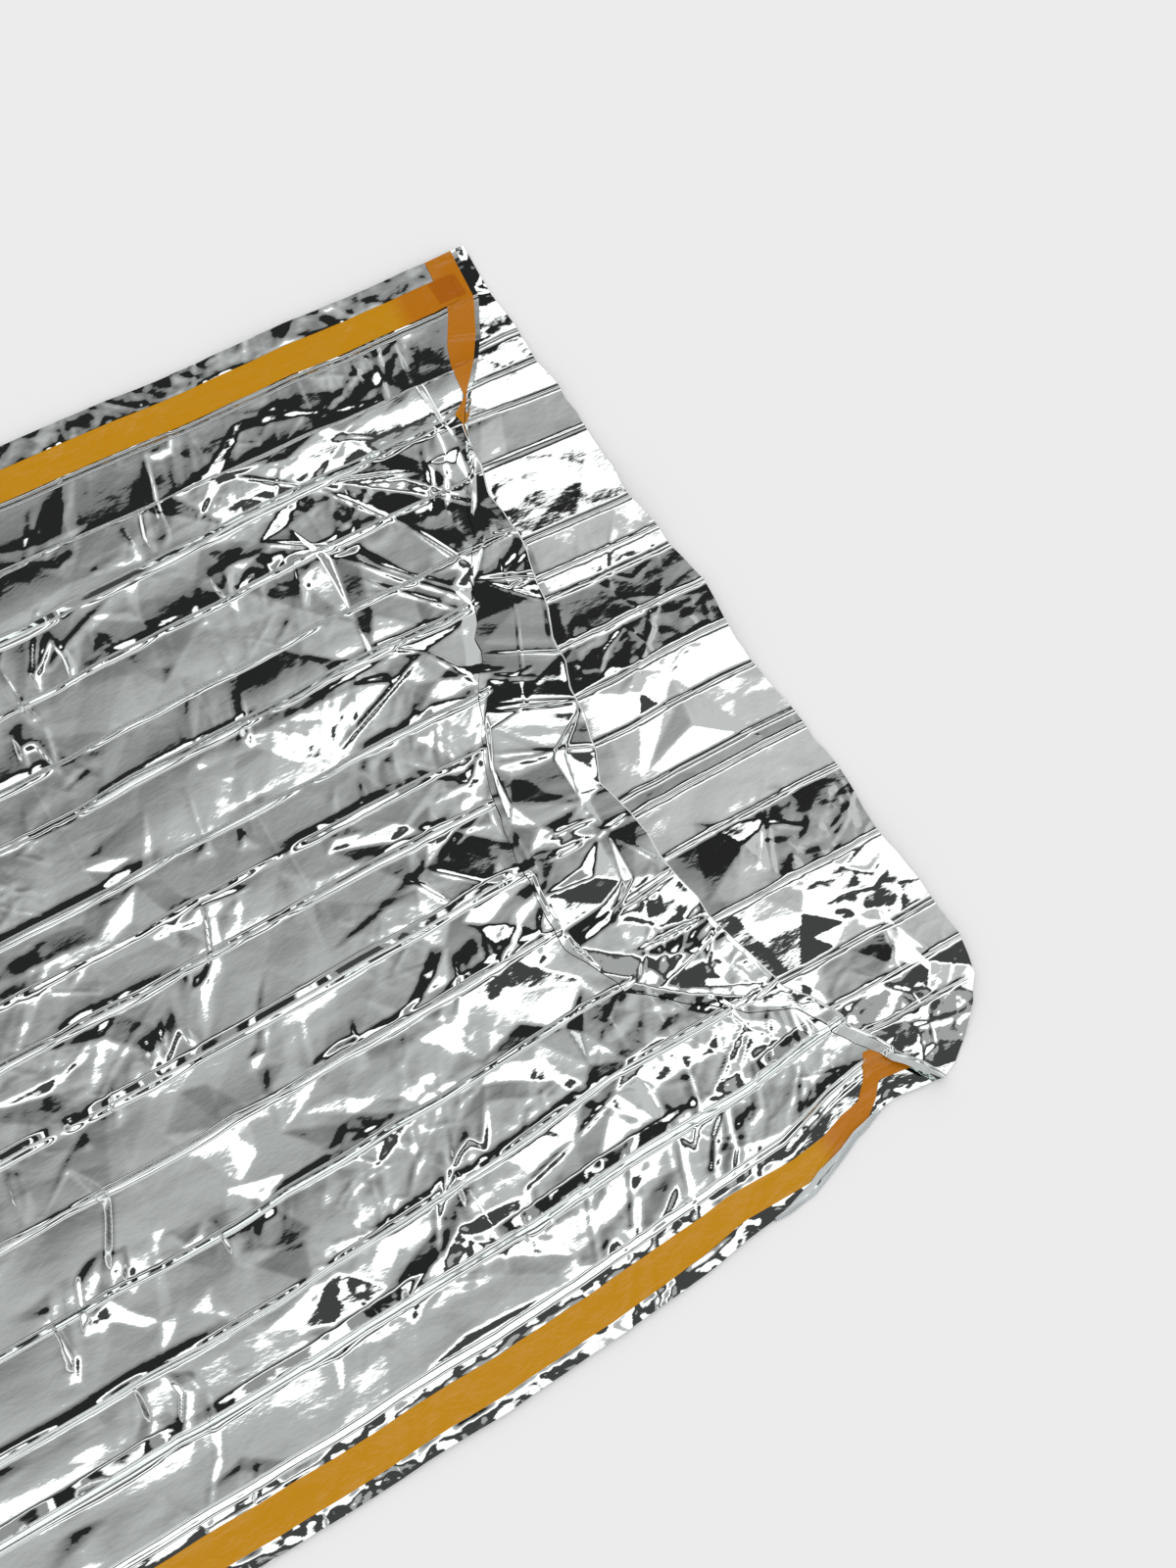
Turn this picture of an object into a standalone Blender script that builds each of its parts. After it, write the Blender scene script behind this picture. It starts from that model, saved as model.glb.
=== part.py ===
"""Emergency sleeping bag of metallised foil, lying open on a surface.

Metres, +Z up. X runs across the bag, +Y along it to the mouth, and the origin is at the
bottom centre. Two foil panels lie on each other and meet at a pressed seam round both long
edges and the foot. The front panel's mouth edge is turned back over it as an uneven cuff.
"""
import math
from collections import namedtuple

import bpy
import numpy as np

# Driving dimensions
FOIL = 0.0013
TAPE = 0.0010
GAP = 0.0003
TAPE_WIDTH = 0.028
LEFT_EDGE = -0.457
RIGHT_EDGE = 0.459
FOOT_Y = -1.0
SEAM_IN = 0.062
SEAM_RISE = 0.040
FOOT_SEAM = 0.020
FOOT_RISE = 0.055
LEVEL = 0.0160
SEAM_TOP = FOIL + GAP + FOIL
BODY_END = 0.540
CROSS_PITCH = 0.155
TURN_RADIUS = 0.005
EDGE_MARGIN = 0.010
CUFF_CLEAR = 0.006
HIDDEN_TAPE_GAP = 0.0017
HIDDEN_FROM = -0.320
CALM = 0.45
CUFF_REST = 0.009
CUFF_SETTLE = 0.015
UNDER_REACH = 0.030
LEAST_LAP = 0.004
MOUTH_AT = 0.880
HIDDEN_REACH = 0.020
TAPE_FOOT = 0.004
LEFT_TAPE_END = -0.008
RIGHT_TAPE_END = -0.006
CROSSING_LENGTH = 0.060

# Unevenness of the lengthwise creases and of the bands between them
SWELL = 0.25
SWELL_ALONG = 9.0
SWELL_TURN = 2.4
BAND_TILT = 0.0012
TILT_SEED = 11
TILT_BANDS = 20
TILT_FOLDS = 40
PULL_END = 0.030

FOIL_COLOUR = (0.78, 0.80, 0.79)
FOIL_ROUGHNESS = 0.12
TAPE_COLOUR = (0.62, 0.30, 0.02)
TAPE_ROUGHNESS = 0.22

# Lengthwise creases of the front panel: place across the body, rise of the crest, flank widths
Crease = namedtuple("Crease", "x rise left right")
FRONT_CREASES = (
    Crease(-0.350, 0.007, 0.005, 0.014),
    Crease(-0.283, 0.008, 0.014, 0.007),
    Crease(-0.228, 0.006, 0.007, 0.008),
    Crease(-0.170, 0.006, 0.007, 0.011),
    Crease(-0.125, 0.009, 0.010, 0.009),
    Crease(-0.055, 0.006, 0.006, 0.007),
    Crease(-0.012, 0.005, 0.006, 0.007),
    Crease(0.033, 0.008, 0.011, 0.006),
    Crease(0.100, 0.009, 0.011, 0.009),
    Crease(0.158, 0.008, 0.012, 0.008),
    Crease(0.230, 0.009, 0.010, 0.009),
    Crease(0.297, 0.008, 0.012, 0.010),
    Crease(0.348, 0.008, 0.016, 0.010),
)

# How far a lengthwise line has moved across by each height along the bag
Drift = namedtuple("Drift", "y left_edge at_m350 at_m285 middle at_p160 at_p297 at_p350 right_edge")
DRIFT_AT = (-0.457, -0.350, -0.285, 0.0, 0.160, 0.297, 0.350, 0.459)
DRIFTS = (
    Drift(0.370, 0.000, 0.000, 0.000, 0.000, 0.000, 0.000, 0.000, 0.000),
    Drift(0.520, 0.000, 0.001, -0.006, -0.003, -0.004, -0.008, -0.004, -0.004),
    Drift(0.670, 0.002, 0.003, -0.015, -0.005, -0.008, -0.022, -0.010, -0.014),
    Drift(0.770, 0.001, 0.004, -0.015, -0.005, -0.008, -0.022, -0.012, -0.025),
    Drift(0.825, 0.000, 0.004, -0.015, -0.005, -0.008, -0.022, -0.018, -0.045),
    Drift(0.870, 0.000, 0.004, -0.015, -0.005, -0.008, -0.022, -0.020, -0.053),
    Drift(0.920, 0.000, 0.004, -0.015, -0.005, -0.008, -0.022, -0.020, -0.047),
)

# The cuff: outermost line of the turned-back edge, how far its free edge comes back,
# share of the half turn made, and how far it leans across for each metre it comes back
Cuff = namedtuple("Cuff", "x outer lap turn lean")
CUFF = (
    Cuff(-0.459, 0.960, 0.000, 0.0, 0.00),
    Cuff(-0.405, 0.955, 0.000, 0.0, 0.00),
    Cuff(-0.370, 0.936, 0.000, 0.0, 0.00),
    Cuff(-0.350, 0.922, 0.000, 0.0, 0.00),
    Cuff(-0.320, 0.895, 0.002, 0.0, -0.10),
    Cuff(-0.290, 0.875, 0.008, 0.4, -0.20),
    Cuff(-0.250, 0.865, 0.014, 0.9, -0.25),
    Cuff(-0.220, 0.857, 0.022, 1.0, -0.30),
    Cuff(-0.160, 0.857, 0.050, 1.0, -0.35),
    Cuff(-0.110, 0.845, 0.062, 1.0, -0.45),
    Cuff(-0.065, 0.832, 0.068, 1.0, -0.45),
    Cuff(-0.015, 0.820, 0.085, 1.0, -0.45),
    Cuff(0.030, 0.810, 0.095, 1.0, -0.42),
    Cuff(0.055, 0.798, 0.092, 1.0, -0.20),
    Cuff(0.090, 0.806, 0.107, 1.0, -0.05),
    Cuff(0.155, 0.812, 0.115, 1.0, 0.10),
    Cuff(0.200, 0.818, 0.098, 1.0, 0.22),
    Cuff(0.240, 0.827, 0.066, 1.0, 0.26),
    Cuff(0.280, 0.836, 0.038, 1.0, 0.20),
    Cuff(0.300, 0.854, 0.018, 1.0, 0.20),
    Cuff(0.340, 0.876, 0.016, 1.0, 0.40),
    Cuff(0.370, 0.896, 0.022, 1.0, 0.45),
    Cuff(0.400, 0.917, 0.022, 1.0, 0.45),
    Cuff(0.412, 0.923, 0.014, 1.0, 0.40),
)

# Points of the turned-back cuff that stand up or sink, with their reach
Peak = namedtuple("Peak", "x y lift reach")
CUFF_PEAKS = (
    Peak(-0.115, 0.835, 0.006, 0.040),
    Peak(-0.052, 0.790, 0.007, 0.045),
    Peak(0.022, 0.785, 0.007, 0.040),
    Peak(0.068, 0.765, 0.004, 0.035),
    Peak(0.145, 0.775, 0.007, 0.045),
    Peak(0.110, 0.725, 0.005, 0.040),
    Peak(0.205, 0.775, 0.005, 0.040),
)

# Folds pulled slantwise across the front panel below the cuff: from, to, rise and half width
Pull = namedtuple("Pull", "x0 y0 x1 y1 rise width")
FRONT_PULLS = (
    Pull(-0.345, 0.640, -0.270, 0.800, 0.006, 0.030),
    Pull(-0.300, 0.720, -0.165, 0.810, 0.007, 0.028),
    Pull(-0.245, 0.700, -0.140, 0.790, 0.006, 0.026),
    Pull(-0.120, 0.725, -0.072, 0.610, 0.007, 0.024),
    Pull(0.050, 0.610, 0.140, 0.660, 0.005, 0.026),
    Pull(0.288, 0.835, 0.385, 0.800, 0.004, 0.022),
    Pull(0.285, 0.800, 0.330, 0.690, 0.005, 0.022),
    Pull(0.290, 0.660, 0.315, 0.560, 0.005, 0.022),
)

# Outer edge of the back panel's mouth, and the height of each lengthwise crease there
BackCrease = namedtuple("BackCrease", "u x y height")
BACK_CREASES = (
    BackCrease(-0.457, -0.459, 0.970, 0.000),
    BackCrease(-0.395, -0.395, 0.966, 0.000),
    BackCrease(-0.360, -0.358, 0.968, 0.006),
    BackCrease(-0.325, -0.325, 0.967, 0.001),
    BackCrease(-0.285, -0.290, 0.970, 0.007),
    BackCrease(-0.240, -0.246, 0.972, 0.002),
    BackCrease(-0.160, -0.165, 0.968, 0.009),
    BackCrease(-0.125, -0.130, 0.976, 0.002),
    BackCrease(-0.105, -0.110, 0.977, 0.005),
    BackCrease(-0.061, -0.066, 0.984, 0.003),
    BackCrease(-0.017, -0.022, 0.979, 0.010),
    BackCrease(0.026, 0.021, 0.981, 0.003),
    BackCrease(0.081, 0.075, 0.990, 0.000),
    BackCrease(0.098, 0.091, 0.990, 0.005),
    BackCrease(0.144, 0.137, 0.994, 0.001),
    BackCrease(0.217, 0.206, 0.991, 0.012),
    BackCrease(0.297, 0.279, 0.999, 0.002),
    BackCrease(0.335, 0.318, 1.000, 0.006),
    BackCrease(0.372, 0.351, 0.992, 0.003),
    BackCrease(0.397, 0.369, 0.977, 0.000),
    BackCrease(0.435, 0.399, 0.944, 0.000),
    BackCrease(0.459, 0.413, 0.922, 0.000),
)
BACK_BODY_ROWS = (-1.0, -0.7, -0.4, -0.1, 0.2, 0.5, 0.7)
BACK_SETTLE = 0.030
BACK_RISE = 0.060
BACK_MOUTH_ROWS = 6

# Lines of the two side tapes, inward from each edge
LEFT_TAPE_IN = (0.0195, 0.0475)
RIGHT_TAPE_IN = (0.0400, 0.0120)

# Rows of points along the cloth, and where a line of points crosses each seam's rise
CROSS_ROWS = 9
MOUTH_ROWS = 9
TURN_ROWS = 5
LAP_ROWS = 5
MOUTH_TAPE_ROWS = 8
LEAST_TURN = 0.4 * EDGE_MARGIN
LEFT_RISE_LINE = SEAM_IN + 0.5 * SEAM_RISE
RIGHT_RISE_LINE = SEAM_IN + SEAM_RISE
TAPE_EDGE_IN = 0.5 * EDGE_MARGIN


def column(rows, name):
    return np.array([getattr(row, name) for row in rows])


def cuff_value(x, name):
    return np.interp(x, column(CUFF, "x"), column(CUFF, name))


def drifted(u, y):
    """Place across the bag of the lengthwise line u, at y along it."""
    sides = [np.interp(y, column(DRIFTS, "y"), column(DRIFTS, name)) for name in Drift._fields[1:]]
    shift = np.zeros(np.broadcast(u, y).shape)
    for i, side in enumerate(sides):
        hat = np.interp(u, DRIFT_AT, np.eye(len(DRIFT_AT))[i])
        shift = shift + hat * side
    return u + shift


def mouth_x(u):
    return drifted(u, np.full(np.shape(u), MOUTH_AT))


def fold_y(u):
    """Where the front panel starts to turn up at its mouth."""
    x = mouth_x(u)
    turned = cuff_value(x, "turn")
    return cuff_value(x, "outer") - TURN_RADIUS - (EDGE_MARGIN - TURN_RADIUS) * (1 - turned)


def past_fold(u):
    """Length of cloth past the fold line, round the turn and along the cuff."""
    x = mouth_x(u)
    turned = cuff_value(x, "turn")
    cuff = cuff_value(x, "lap") + (math.pi - 1) * TURN_RADIUS
    return EDGE_MARGIN * (1 - turned) + np.maximum(cuff, EDGE_MARGIN) * turned


def inside(u, y):
    """0 on the pressed seams and 1 where the panels stand apart."""
    edge = np.minimum(u - LEFT_EDGE, RIGHT_EDGE - u)
    sides = np.clip((edge - SEAM_IN) / SEAM_RISE, 0, 1)
    return sides * np.clip((y - FOOT_Y - FOOT_SEAM) / FOOT_RISE, 0, 1)


def tent(value, centre, left, right):
    return np.clip(np.minimum((value - centre) / left, (centre - value) / right) + 1, 0, 1)


def unevenness(u, y):
    """Bands between creases lie a little tilted, each length between cross folds its own way."""
    fold = (BODY_END - y) / CROSS_PITCH + TILT_FOLDS // 2
    below = np.floor(fold).astype(int)
    share = fold - below
    band = np.searchsorted(column(FRONT_CREASES, "x"), u)
    dice = np.random.RandomState(TILT_SEED).uniform(-1, 1, (TILT_BANDS, TILT_FOLDS))
    return BAND_TILT * (dice[band, below] * (1 - share) + dice[band, below + 1] * share)


def pulled_folds(x, y):
    total = 0.0
    for fold in FRONT_PULLS:
        length = math.hypot(fold.x1 - fold.x0, fold.y1 - fold.y0)
        along_x = (fold.x1 - fold.x0) / length
        along_y = (fold.y1 - fold.y0) / length
        along = (x - fold.x0) * along_x + (y - fold.y0) * along_y
        aside = (x - fold.x0) * along_y - (y - fold.y0) * along_x
        ends = np.clip(np.minimum(along, length - along) / PULL_END + 1, 0, 1)
        total = total + fold.rise * ends * np.clip(1 - np.abs(aside) / fold.width, 0, 1)
    return total


def front_top(u, y):
    """Height of the front panel's outer face where it lies."""
    relief = 0.0
    for number, crease in enumerate(FRONT_CREASES):
        swell = 1 + SWELL * np.sin(SWELL_ALONG * y + SWELL_TURN * number)
        relief = relief + crease.rise * swell * tent(u, crease.x, crease.left, crease.right)
    relief = np.maximum(relief, pulled_folds(drifted(u, y), y))
    lap = cuff_value(mouth_x(u), "lap")
    under = np.clip((y - fold_y(u) + lap) / UNDER_REACH + 1, 0, 1) * (lap > LEAST_LAP)
    calmed = 1 - (1 - CALM) * under
    return SEAM_TOP + inside(u, y) * (LEVEL - SEAM_TOP + unevenness(u, y) + relief * calmed)


def cuff_relief(x, y):
    total = 0.0
    for peak in CUFF_PEAKS:
        away = np.hypot(x - peak.x, y - peak.y)
        total = np.maximum(total, peak.lift * np.clip(1 - away / peak.reach, 0, 1))
    return total


def front_at(u, v):
    """Point of the front panel's outer face, v past its fold line along the cloth."""
    x_fold = mouth_x(u)
    fold = fold_y(u)
    turn = cuff_value(x_fold, "turn") * math.pi
    lean = cuff_value(x_fold, "lean")
    level = np.sqrt(1 - lean**2)
    lie_y = fold + np.minimum(v, 0)
    bend = np.clip(v / TURN_RADIUS, 0, turn)
    flat = np.maximum(v - TURN_RADIUS * turn, 0)
    most = np.maximum(past_fold(u) - TURN_RADIUS * turn, 1e-4)
    forward = TURN_RADIUS * np.sin(bend) + flat * np.maximum(np.cos(turn), 0)
    back = flat * np.maximum(-np.cos(turn), 0)
    x = drifted(u, lie_y) + back * lean
    y = lie_y + forward - back * level
    turned_z = TURN_RADIUS * (1 - np.cos(bend)) + flat * np.maximum(np.sin(turn), 0)
    z = front_top(u, lie_y) + turned_z
    end_y = fold - most * level
    full = np.clip(turn / math.pi * 2 - 1, 0, 1)
    rest = SEAM_TOP + inside(u, end_y) * (LEVEL - SEAM_TOP + CALM * CUFF_REST) + CUFF_CLEAR
    start = front_top(u, fold) + 2 * TURN_RADIUS
    share = np.clip(flat / most, 0, 1)
    z = z + full * share * (rest - start) * (flat > 0)
    lifted = cuff_relief(x, y) * np.clip(flat / CUFF_SETTLE, 0, 1) * full
    return np.stack([x, y, z + lifted], axis=-1)


def normals_of(points):
    """Unit normals of a grid of points, from its neighbours along both ways."""
    down = np.gradient(points, axis=0)
    over = np.gradient(points, axis=1)
    normal = np.cross(over, down)
    return normal / np.linalg.norm(normal, axis=-1, keepdims=True)


def sheet_between(name, upper, lower, material):
    """One closed solid between two grids of points: rows run along the bag, columns across."""
    rows, columns = upper.shape[:2]
    points = np.concatenate([upper.reshape(-1, 3), lower.reshape(-1, 3)])
    count = rows * columns
    faces = []
    for i in range(rows - 1):
        for j in range(columns - 1):
            a = i * columns + j
            quad = (a, a + 1, a + columns + 1, a + columns)
            faces.append(quad)
            faces.append(tuple(count + corner for corner in reversed(quad)))
    rim = [j for j in range(columns)]
    rim += [i * columns + columns - 1 for i in range(1, rows)]
    rim += [(rows - 1) * columns + j for j in range(columns - 2, -1, -1)]
    rim += [i * columns for i in range(rows - 2, 0, -1)]
    for here, there in zip(rim, rim[1:] + rim[:1]):
        faces.append((there, here, count + here, count + there))
    mesh = bpy.data.meshes.new(name)
    mesh.from_pydata([tuple(map(float, p)) for p in points], [], faces)
    mesh.materials.append(material)
    mesh.update()
    obj = bpy.data.objects.new(name, mesh)
    bpy.context.scene.collection.objects.link(obj)
    return obj


def make_material(name, colour, metallic, roughness):
    material = bpy.data.materials.new(name)
    material.use_nodes = True
    shader = material.node_tree.nodes["Principled BSDF"]
    shader.inputs["Base Color"].default_value = (*colour, 1.0)
    shader.inputs["Metallic"].default_value = metallic
    shader.inputs["Roughness"].default_value = roughness
    return material


def front_columns():
    places = [LEFT_EDGE, RIGHT_EDGE]
    places += [LEFT_EDGE + step for step in (*LEFT_TAPE_IN, SEAM_IN)]
    places += [RIGHT_EDGE - step for step in (*RIGHT_TAPE_IN, SEAM_IN)]
    places += [LEFT_EDGE + LEFT_RISE_LINE, RIGHT_EDGE - RIGHT_RISE_LINE]
    for crease in FRONT_CREASES:
        places += [crease.x - crease.left, crease.x, crease.x + crease.right]
    return np.array(sorted(places))


def body_places(first):
    """Places along the bag from the foot to the last cross fold before the mouth."""
    places = [first, FOOT_Y + FOOT_SEAM, FOOT_Y + FOOT_SEAM + FOOT_RISE]
    return places + [BODY_END - CROSS_PITCH * step for step in range(CROSS_ROWS, 0, -1)]


def front_rows(u):
    """The v of each row of the front panel, one line of values for each column."""
    fold = fold_y(u)
    rows = [y - fold for y in body_places(FOOT_Y)]
    for step in range(MOUTH_ROWS):
        rows.append((BODY_END - fold) * (1 - step / MOUTH_ROWS))
    turn = cuff_value(mouth_x(u), "turn") * math.pi * TURN_RADIUS
    turn = np.maximum(turn, LEAST_TURN)
    for step in range(TURN_ROWS):
        rows.append(turn * step / TURN_ROWS)
    for step in range(LAP_ROWS + 1):
        rows.append(turn + (past_fold(u) - turn) * step / LAP_ROWS)
    return np.array(rows)


def make_front(material):
    u = front_columns()
    v = front_rows(u)
    outer = front_at(np.broadcast_to(u, v.shape), v)
    inner = outer - FOIL * normals_of(outer)
    return sheet_between("front_panel", outer, inner, material)


def make_back(material):
    u = column(BACK_CREASES, "u")
    fold = fold_y(u)
    start = fold - BACK_SETTLE
    rows_x = []
    rows_y = []
    for y in BACK_BODY_ROWS:
        rows_y.append(np.full(u.shape, y))
        rows_x.append(drifted(u, rows_y[-1]))
    for step in range(BACK_MOUTH_ROWS + 1):
        share = step / BACK_MOUTH_ROWS
        y = start + (column(BACK_CREASES, "y") - start) * share
        slide = column(BACK_CREASES, "x") - drifted(u, column(BACK_CREASES, "y"))
        rows_y.append(y)
        rows_x.append(drifted(u, y) + slide * share)
    x = np.array(rows_x)
    y = np.array(rows_y)
    height = column(BACK_CREASES, "height") * np.clip((y - start) / BACK_RISE, 0, 1)
    lower = np.stack([x, y, height], axis=-1)
    upper = lower + np.array([0, 0, FOIL])
    return sheet_between("back_panel", upper, lower, material)


def make_side_tape(name, lines, end_v, lift, material):
    """A strip on the seam from the foot to the mouth, lifted where it crosses the mouth tape."""
    u = np.array(lines)
    rows = [y - fold_y(u) for y in body_places(FOOT_Y + TAPE_FOOT)]
    for step in range(MOUTH_ROWS):
        share = step / MOUTH_ROWS
        rows.append((BODY_END - fold_y(u)) * (1 - share) + end_v * share)
    rows.append(np.full(u.shape, end_v))
    v = np.array(rows)
    base = front_at(np.broadcast_to(u, v.shape), v)
    base[..., 2] += GAP + lift * (v > end_v - CROSSING_LENGTH)
    top = base + np.array([0, 0, TAPE])
    return sheet_between(name, top, base, material)


def make_mouth_tape(material):
    """A strip along the front panel's mouth edge, on its outer face, which the cuff turns in."""
    u = front_columns()[:-1]
    far = past_fold(u) - TAPE_EDGE_IN
    steps = range(MOUTH_TAPE_ROWS + 1)
    v = np.array([far - TAPE_WIDTH * (1 - step / MOUTH_TAPE_ROWS) for step in steps])
    surface = front_at(np.broadcast_to(u, v.shape), v)
    outward = normals_of(surface)
    hidden = np.clip((mouth_x(u) - HIDDEN_FROM) / HIDDEN_REACH, 0, 1)[None, :, None]
    gap = GAP + (HIDDEN_TAPE_GAP - GAP) * hidden
    upper = surface + outward * (gap + TAPE)
    lower = surface + outward * gap
    return sheet_between("mouth_tape", upper, lower, material)


for old in list(bpy.data.objects):
    bpy.data.objects.remove(old)

foil = make_material("foil", FOIL_COLOUR, 1.0, FOIL_ROUGHNESS)
amber = make_material("amber_tape", TAPE_COLOUR, 0.0, TAPE_ROUGHNESS)
make_back(foil)
make_front(foil)
make_mouth_tape(amber)
crossing = TAPE + GAP
left_lines = [LEFT_EDGE + step for step in LEFT_TAPE_IN]
right_lines = [RIGHT_EDGE - step for step in RIGHT_TAPE_IN]
make_side_tape("side_tape_left", left_lines, LEFT_TAPE_END, crossing, amber)
make_side_tape("side_tape_right", right_lines, RIGHT_TAPE_END, 0.0, amber)
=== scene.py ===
"""Emergency sleeping bag of metallised foil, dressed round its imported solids.

Metres, +Z up. X runs across the bag and +Y along it to the mouth. Each foil sheet is one grid of
points: columns run across the cloth and rows along it, from the foot to the free edge.
"""

import math
from collections import namedtuple

import bpy
import numpy as np
from mathutils import Matrix, Vector
from mathutils.geometry import delaunay_2d_cdt


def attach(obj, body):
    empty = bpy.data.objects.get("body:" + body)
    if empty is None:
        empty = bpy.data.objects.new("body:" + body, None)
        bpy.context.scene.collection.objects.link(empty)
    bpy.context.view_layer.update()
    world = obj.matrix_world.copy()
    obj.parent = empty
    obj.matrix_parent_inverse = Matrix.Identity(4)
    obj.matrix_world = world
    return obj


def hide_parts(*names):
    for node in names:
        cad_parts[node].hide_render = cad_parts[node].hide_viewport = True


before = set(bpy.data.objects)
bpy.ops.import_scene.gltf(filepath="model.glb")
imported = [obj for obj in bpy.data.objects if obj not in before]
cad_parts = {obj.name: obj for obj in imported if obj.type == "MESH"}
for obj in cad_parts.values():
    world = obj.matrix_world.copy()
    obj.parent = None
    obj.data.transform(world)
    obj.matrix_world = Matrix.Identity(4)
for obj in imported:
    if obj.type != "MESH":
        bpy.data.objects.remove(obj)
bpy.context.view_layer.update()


def table(columns, *rows):
    """Rows of named values. Columns before a bar are written in millimetres, read in metres."""
    lengths, _, others = columns.rpartition("|")
    row_of = namedtuple("Row", lengths + others)
    count = len(lengths.split())
    return tuple(row_of(*(value / 1000 for value in row[:count]), *row[count:]) for row in rows)


# Sizes of the bag, as the solids have them
LEFT_EDGE = -0.457
RIGHT_EDGE = 0.459
FOOT_Y = -1.0
SEAM_IN = 0.062
FOOT_SEAM = 0.020
FOOT_RISE = 0.055
MOUTH_AT = 0.880
LEVEL = 0.0120
TAPE_WIDTH = 0.028
TURN_RADIUS = 0.0016
EDGE_MARGIN = 0.010

# Cuff: its clearance, the rise to its fold and the flap at the right corner
CUFF_CLEAR = 0.0010
CUFF_REST = 0.0008
FOLD_RAISED = 0.035
FOLD_EASE = 0.004
FOLD_WANDER = 0.0025
FOLD_SQUASH = 0.35
SQUASH_UNEVEN = 0.20
FREE_EDGE_UNEVEN = 0.0018
CALM = 0.45
CALM_REACH = 0.020
CALM_LAP = 0.004
CORNER_FROM = 0.300
CORNER_REACH = 0.030
CORNER_REST = 0.0020
CORNER_X = 0.330
CORNER_HIGH = 0.0050
CORNER_TILT = 0.072
CORNER_UNEVEN = 0.0004

# Edges of each side tape, in from the side of the bag: at its foot, and by place along it
LEFT_TAPE_IN = (0.0195, 0.0475)
RIGHT_TAPE_IN = (0.0120, 0.0400)
LEFT_TAPE = table(
    "y inner outer |",
    (600, 47.5, 19.5), (940, 46.5, 19),
)
RIGHT_TAPE = table(
    "y inner outer |",
    (600, 40, 12), (710, 39.5, 14), (775, 33, 7), (803, 26, 3.5), (843, 24, 2.5), (857, 38.5, 12),
    (868, 64, 26),
)
TAPE_FOOT = 0.004
TAPE_LIFT = 0.0004
LEFT_TAPE_END = -0.008
RIGHT_TAPE_END = -0.006
TAPE_OVER = 0.0006
TAPE_CROSSING = 0.030
CROSSING_RISE = 0.006
HIDDEN_TAPE_IN = 0.006
TAPE_CALM = 0.8
TAPE_COVER_EDGE = 0.002

# How the front panel rises from the seam: steep at the seam line and at the first crease
SEAM_STEPS = table(
    "inward | share",
    (-12, 0), (-7, 0.42), (43, 0.2), (48, 0.86), (88, 1),
)
STEP_WANDER = 0.003
STEP_REACH = 0.020

# Share of the mouth tape's width that lies open, by place: it is gathered at the pinch
TAPE_GATHER = table(
    "x | share",
    (-400, 1), (-371, 1.1), (-355, 0.92), (-340, 0.68), (-318, 0.07), (-306, 0.4), (-292, 0.06),
    (-262, 0.05), (-200, 0.45), (-100, 1), (200, 1), (270, 0.4), (310, 0.1), (360, 0.1),
    (440, 0.2),
)

# Smooth strip outside the right side tape: its two edges, out from the side, and its pinked cut
PALE_STRIP = table(
    "y inner outer |",
    (730, -1, 1), (742, -1, 3), (767, -6, 2.5), (782, -7, 2.5), (807, -3, 3.5), (837, -2, 3.4),
    (855, -2, 0.5),
)
PALE_COLUMNS = 9
PALE_LIFT = 0.0014
PALE_CLEAR = 0.0006
PALE_ARCH = (0.30, 0.60)
TOOTH_PITCH = 0.0024
TOOTH_SIZE = 0.0018

# Heights of the thin sheets where they are pressed together
BACK_FACE = 0.0006
SEAM_TOP = 0.0016
SEAM_CRUMPLE = 0.8
SMALL_LIFT = 0.0012
MARGIN_SLOPE = 0.0010
LEFT_SLOPE = 0.0004
LEFT_CURL = 0.0016
CURL_WIDE = 0.020

# Lengthwise creases of the front panel: place across the body, rise of the crest, flank widths
FRONT_CREASES = table(
    "x rise left right |",
    (-350, 1.1, 2, 3), (-283, 2.6, 10, 3), (-228, 1, 3, 2), (-170, 1, 2, 3), (-125, 1.7, 5, 3),
    (-55, 1, 2, 2), (-12, 0.9, 2, 3), (33, 1.4, 4, 3), (100, 2.6, 8, 4), (158, 1.2, 3, 3),
    (230, 1.4, 3, 2), (297, 1.3, 4, 2), (348, 2.8, 11, 4),
)
CREST_PITCH = 0.036
CREST_SEED = 51
CREST_UNEVEN = 1.5
CREST_WANDER = 0.0018
WANDER_FROM = 0.05
CREST_BY_CUFF = 0.5
SHOULDER_WIDE = 0.010
SHOULDER_STEEP = 0.001
SHOULDER_PITCH = 0.090
SHOULDER_SEED = 73
SHOULDER_RISE = 0.0010

# Lean of each band between two creases, in degrees towards the right, by place along the bag
LEAN_AT = (0.230, 0.385, 0.540, 0.620, 0.700, 0.780)
BAND_LEANS = table(
    "y230 y385 y540 y620 y700 y780",
    (3, 3, 3, 4, 4, 4), (1, 1, 1, 2, 2, 3), (0, 1, 0, -1, -1, 0), (0, 0, 1, 1, 0, 0),
    (0, 0, 0, 1, 0, 0), (0, 1, 2, 2, 0, 0), (0, 0, -1, 0, 0, 0), (0, 1, 0, 1, 0, 0),
    (0, 0, 1, 0, -1, 0), (0, 1, 1, 0, 0, 0), (0, 1, 0, 1, 1, 0), (0, -1, 1, 1, 0, -1),
    (-1, 0, 1, 0, -1, -1), (-2, -2, -1, 0, -2, -3),
)
LEAN_MIDDLE = 0.75
LEAN_PER_METRE = -10.5
HIDDEN_LEAN = 2.5
HIDDEN_PLACES = 7
BAND_SEED = 23
BAND_WANDER = 0.010
BAND_BOW = 0.0008
BOW_PITCH = 0.130
BOW_SEED = 95

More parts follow.
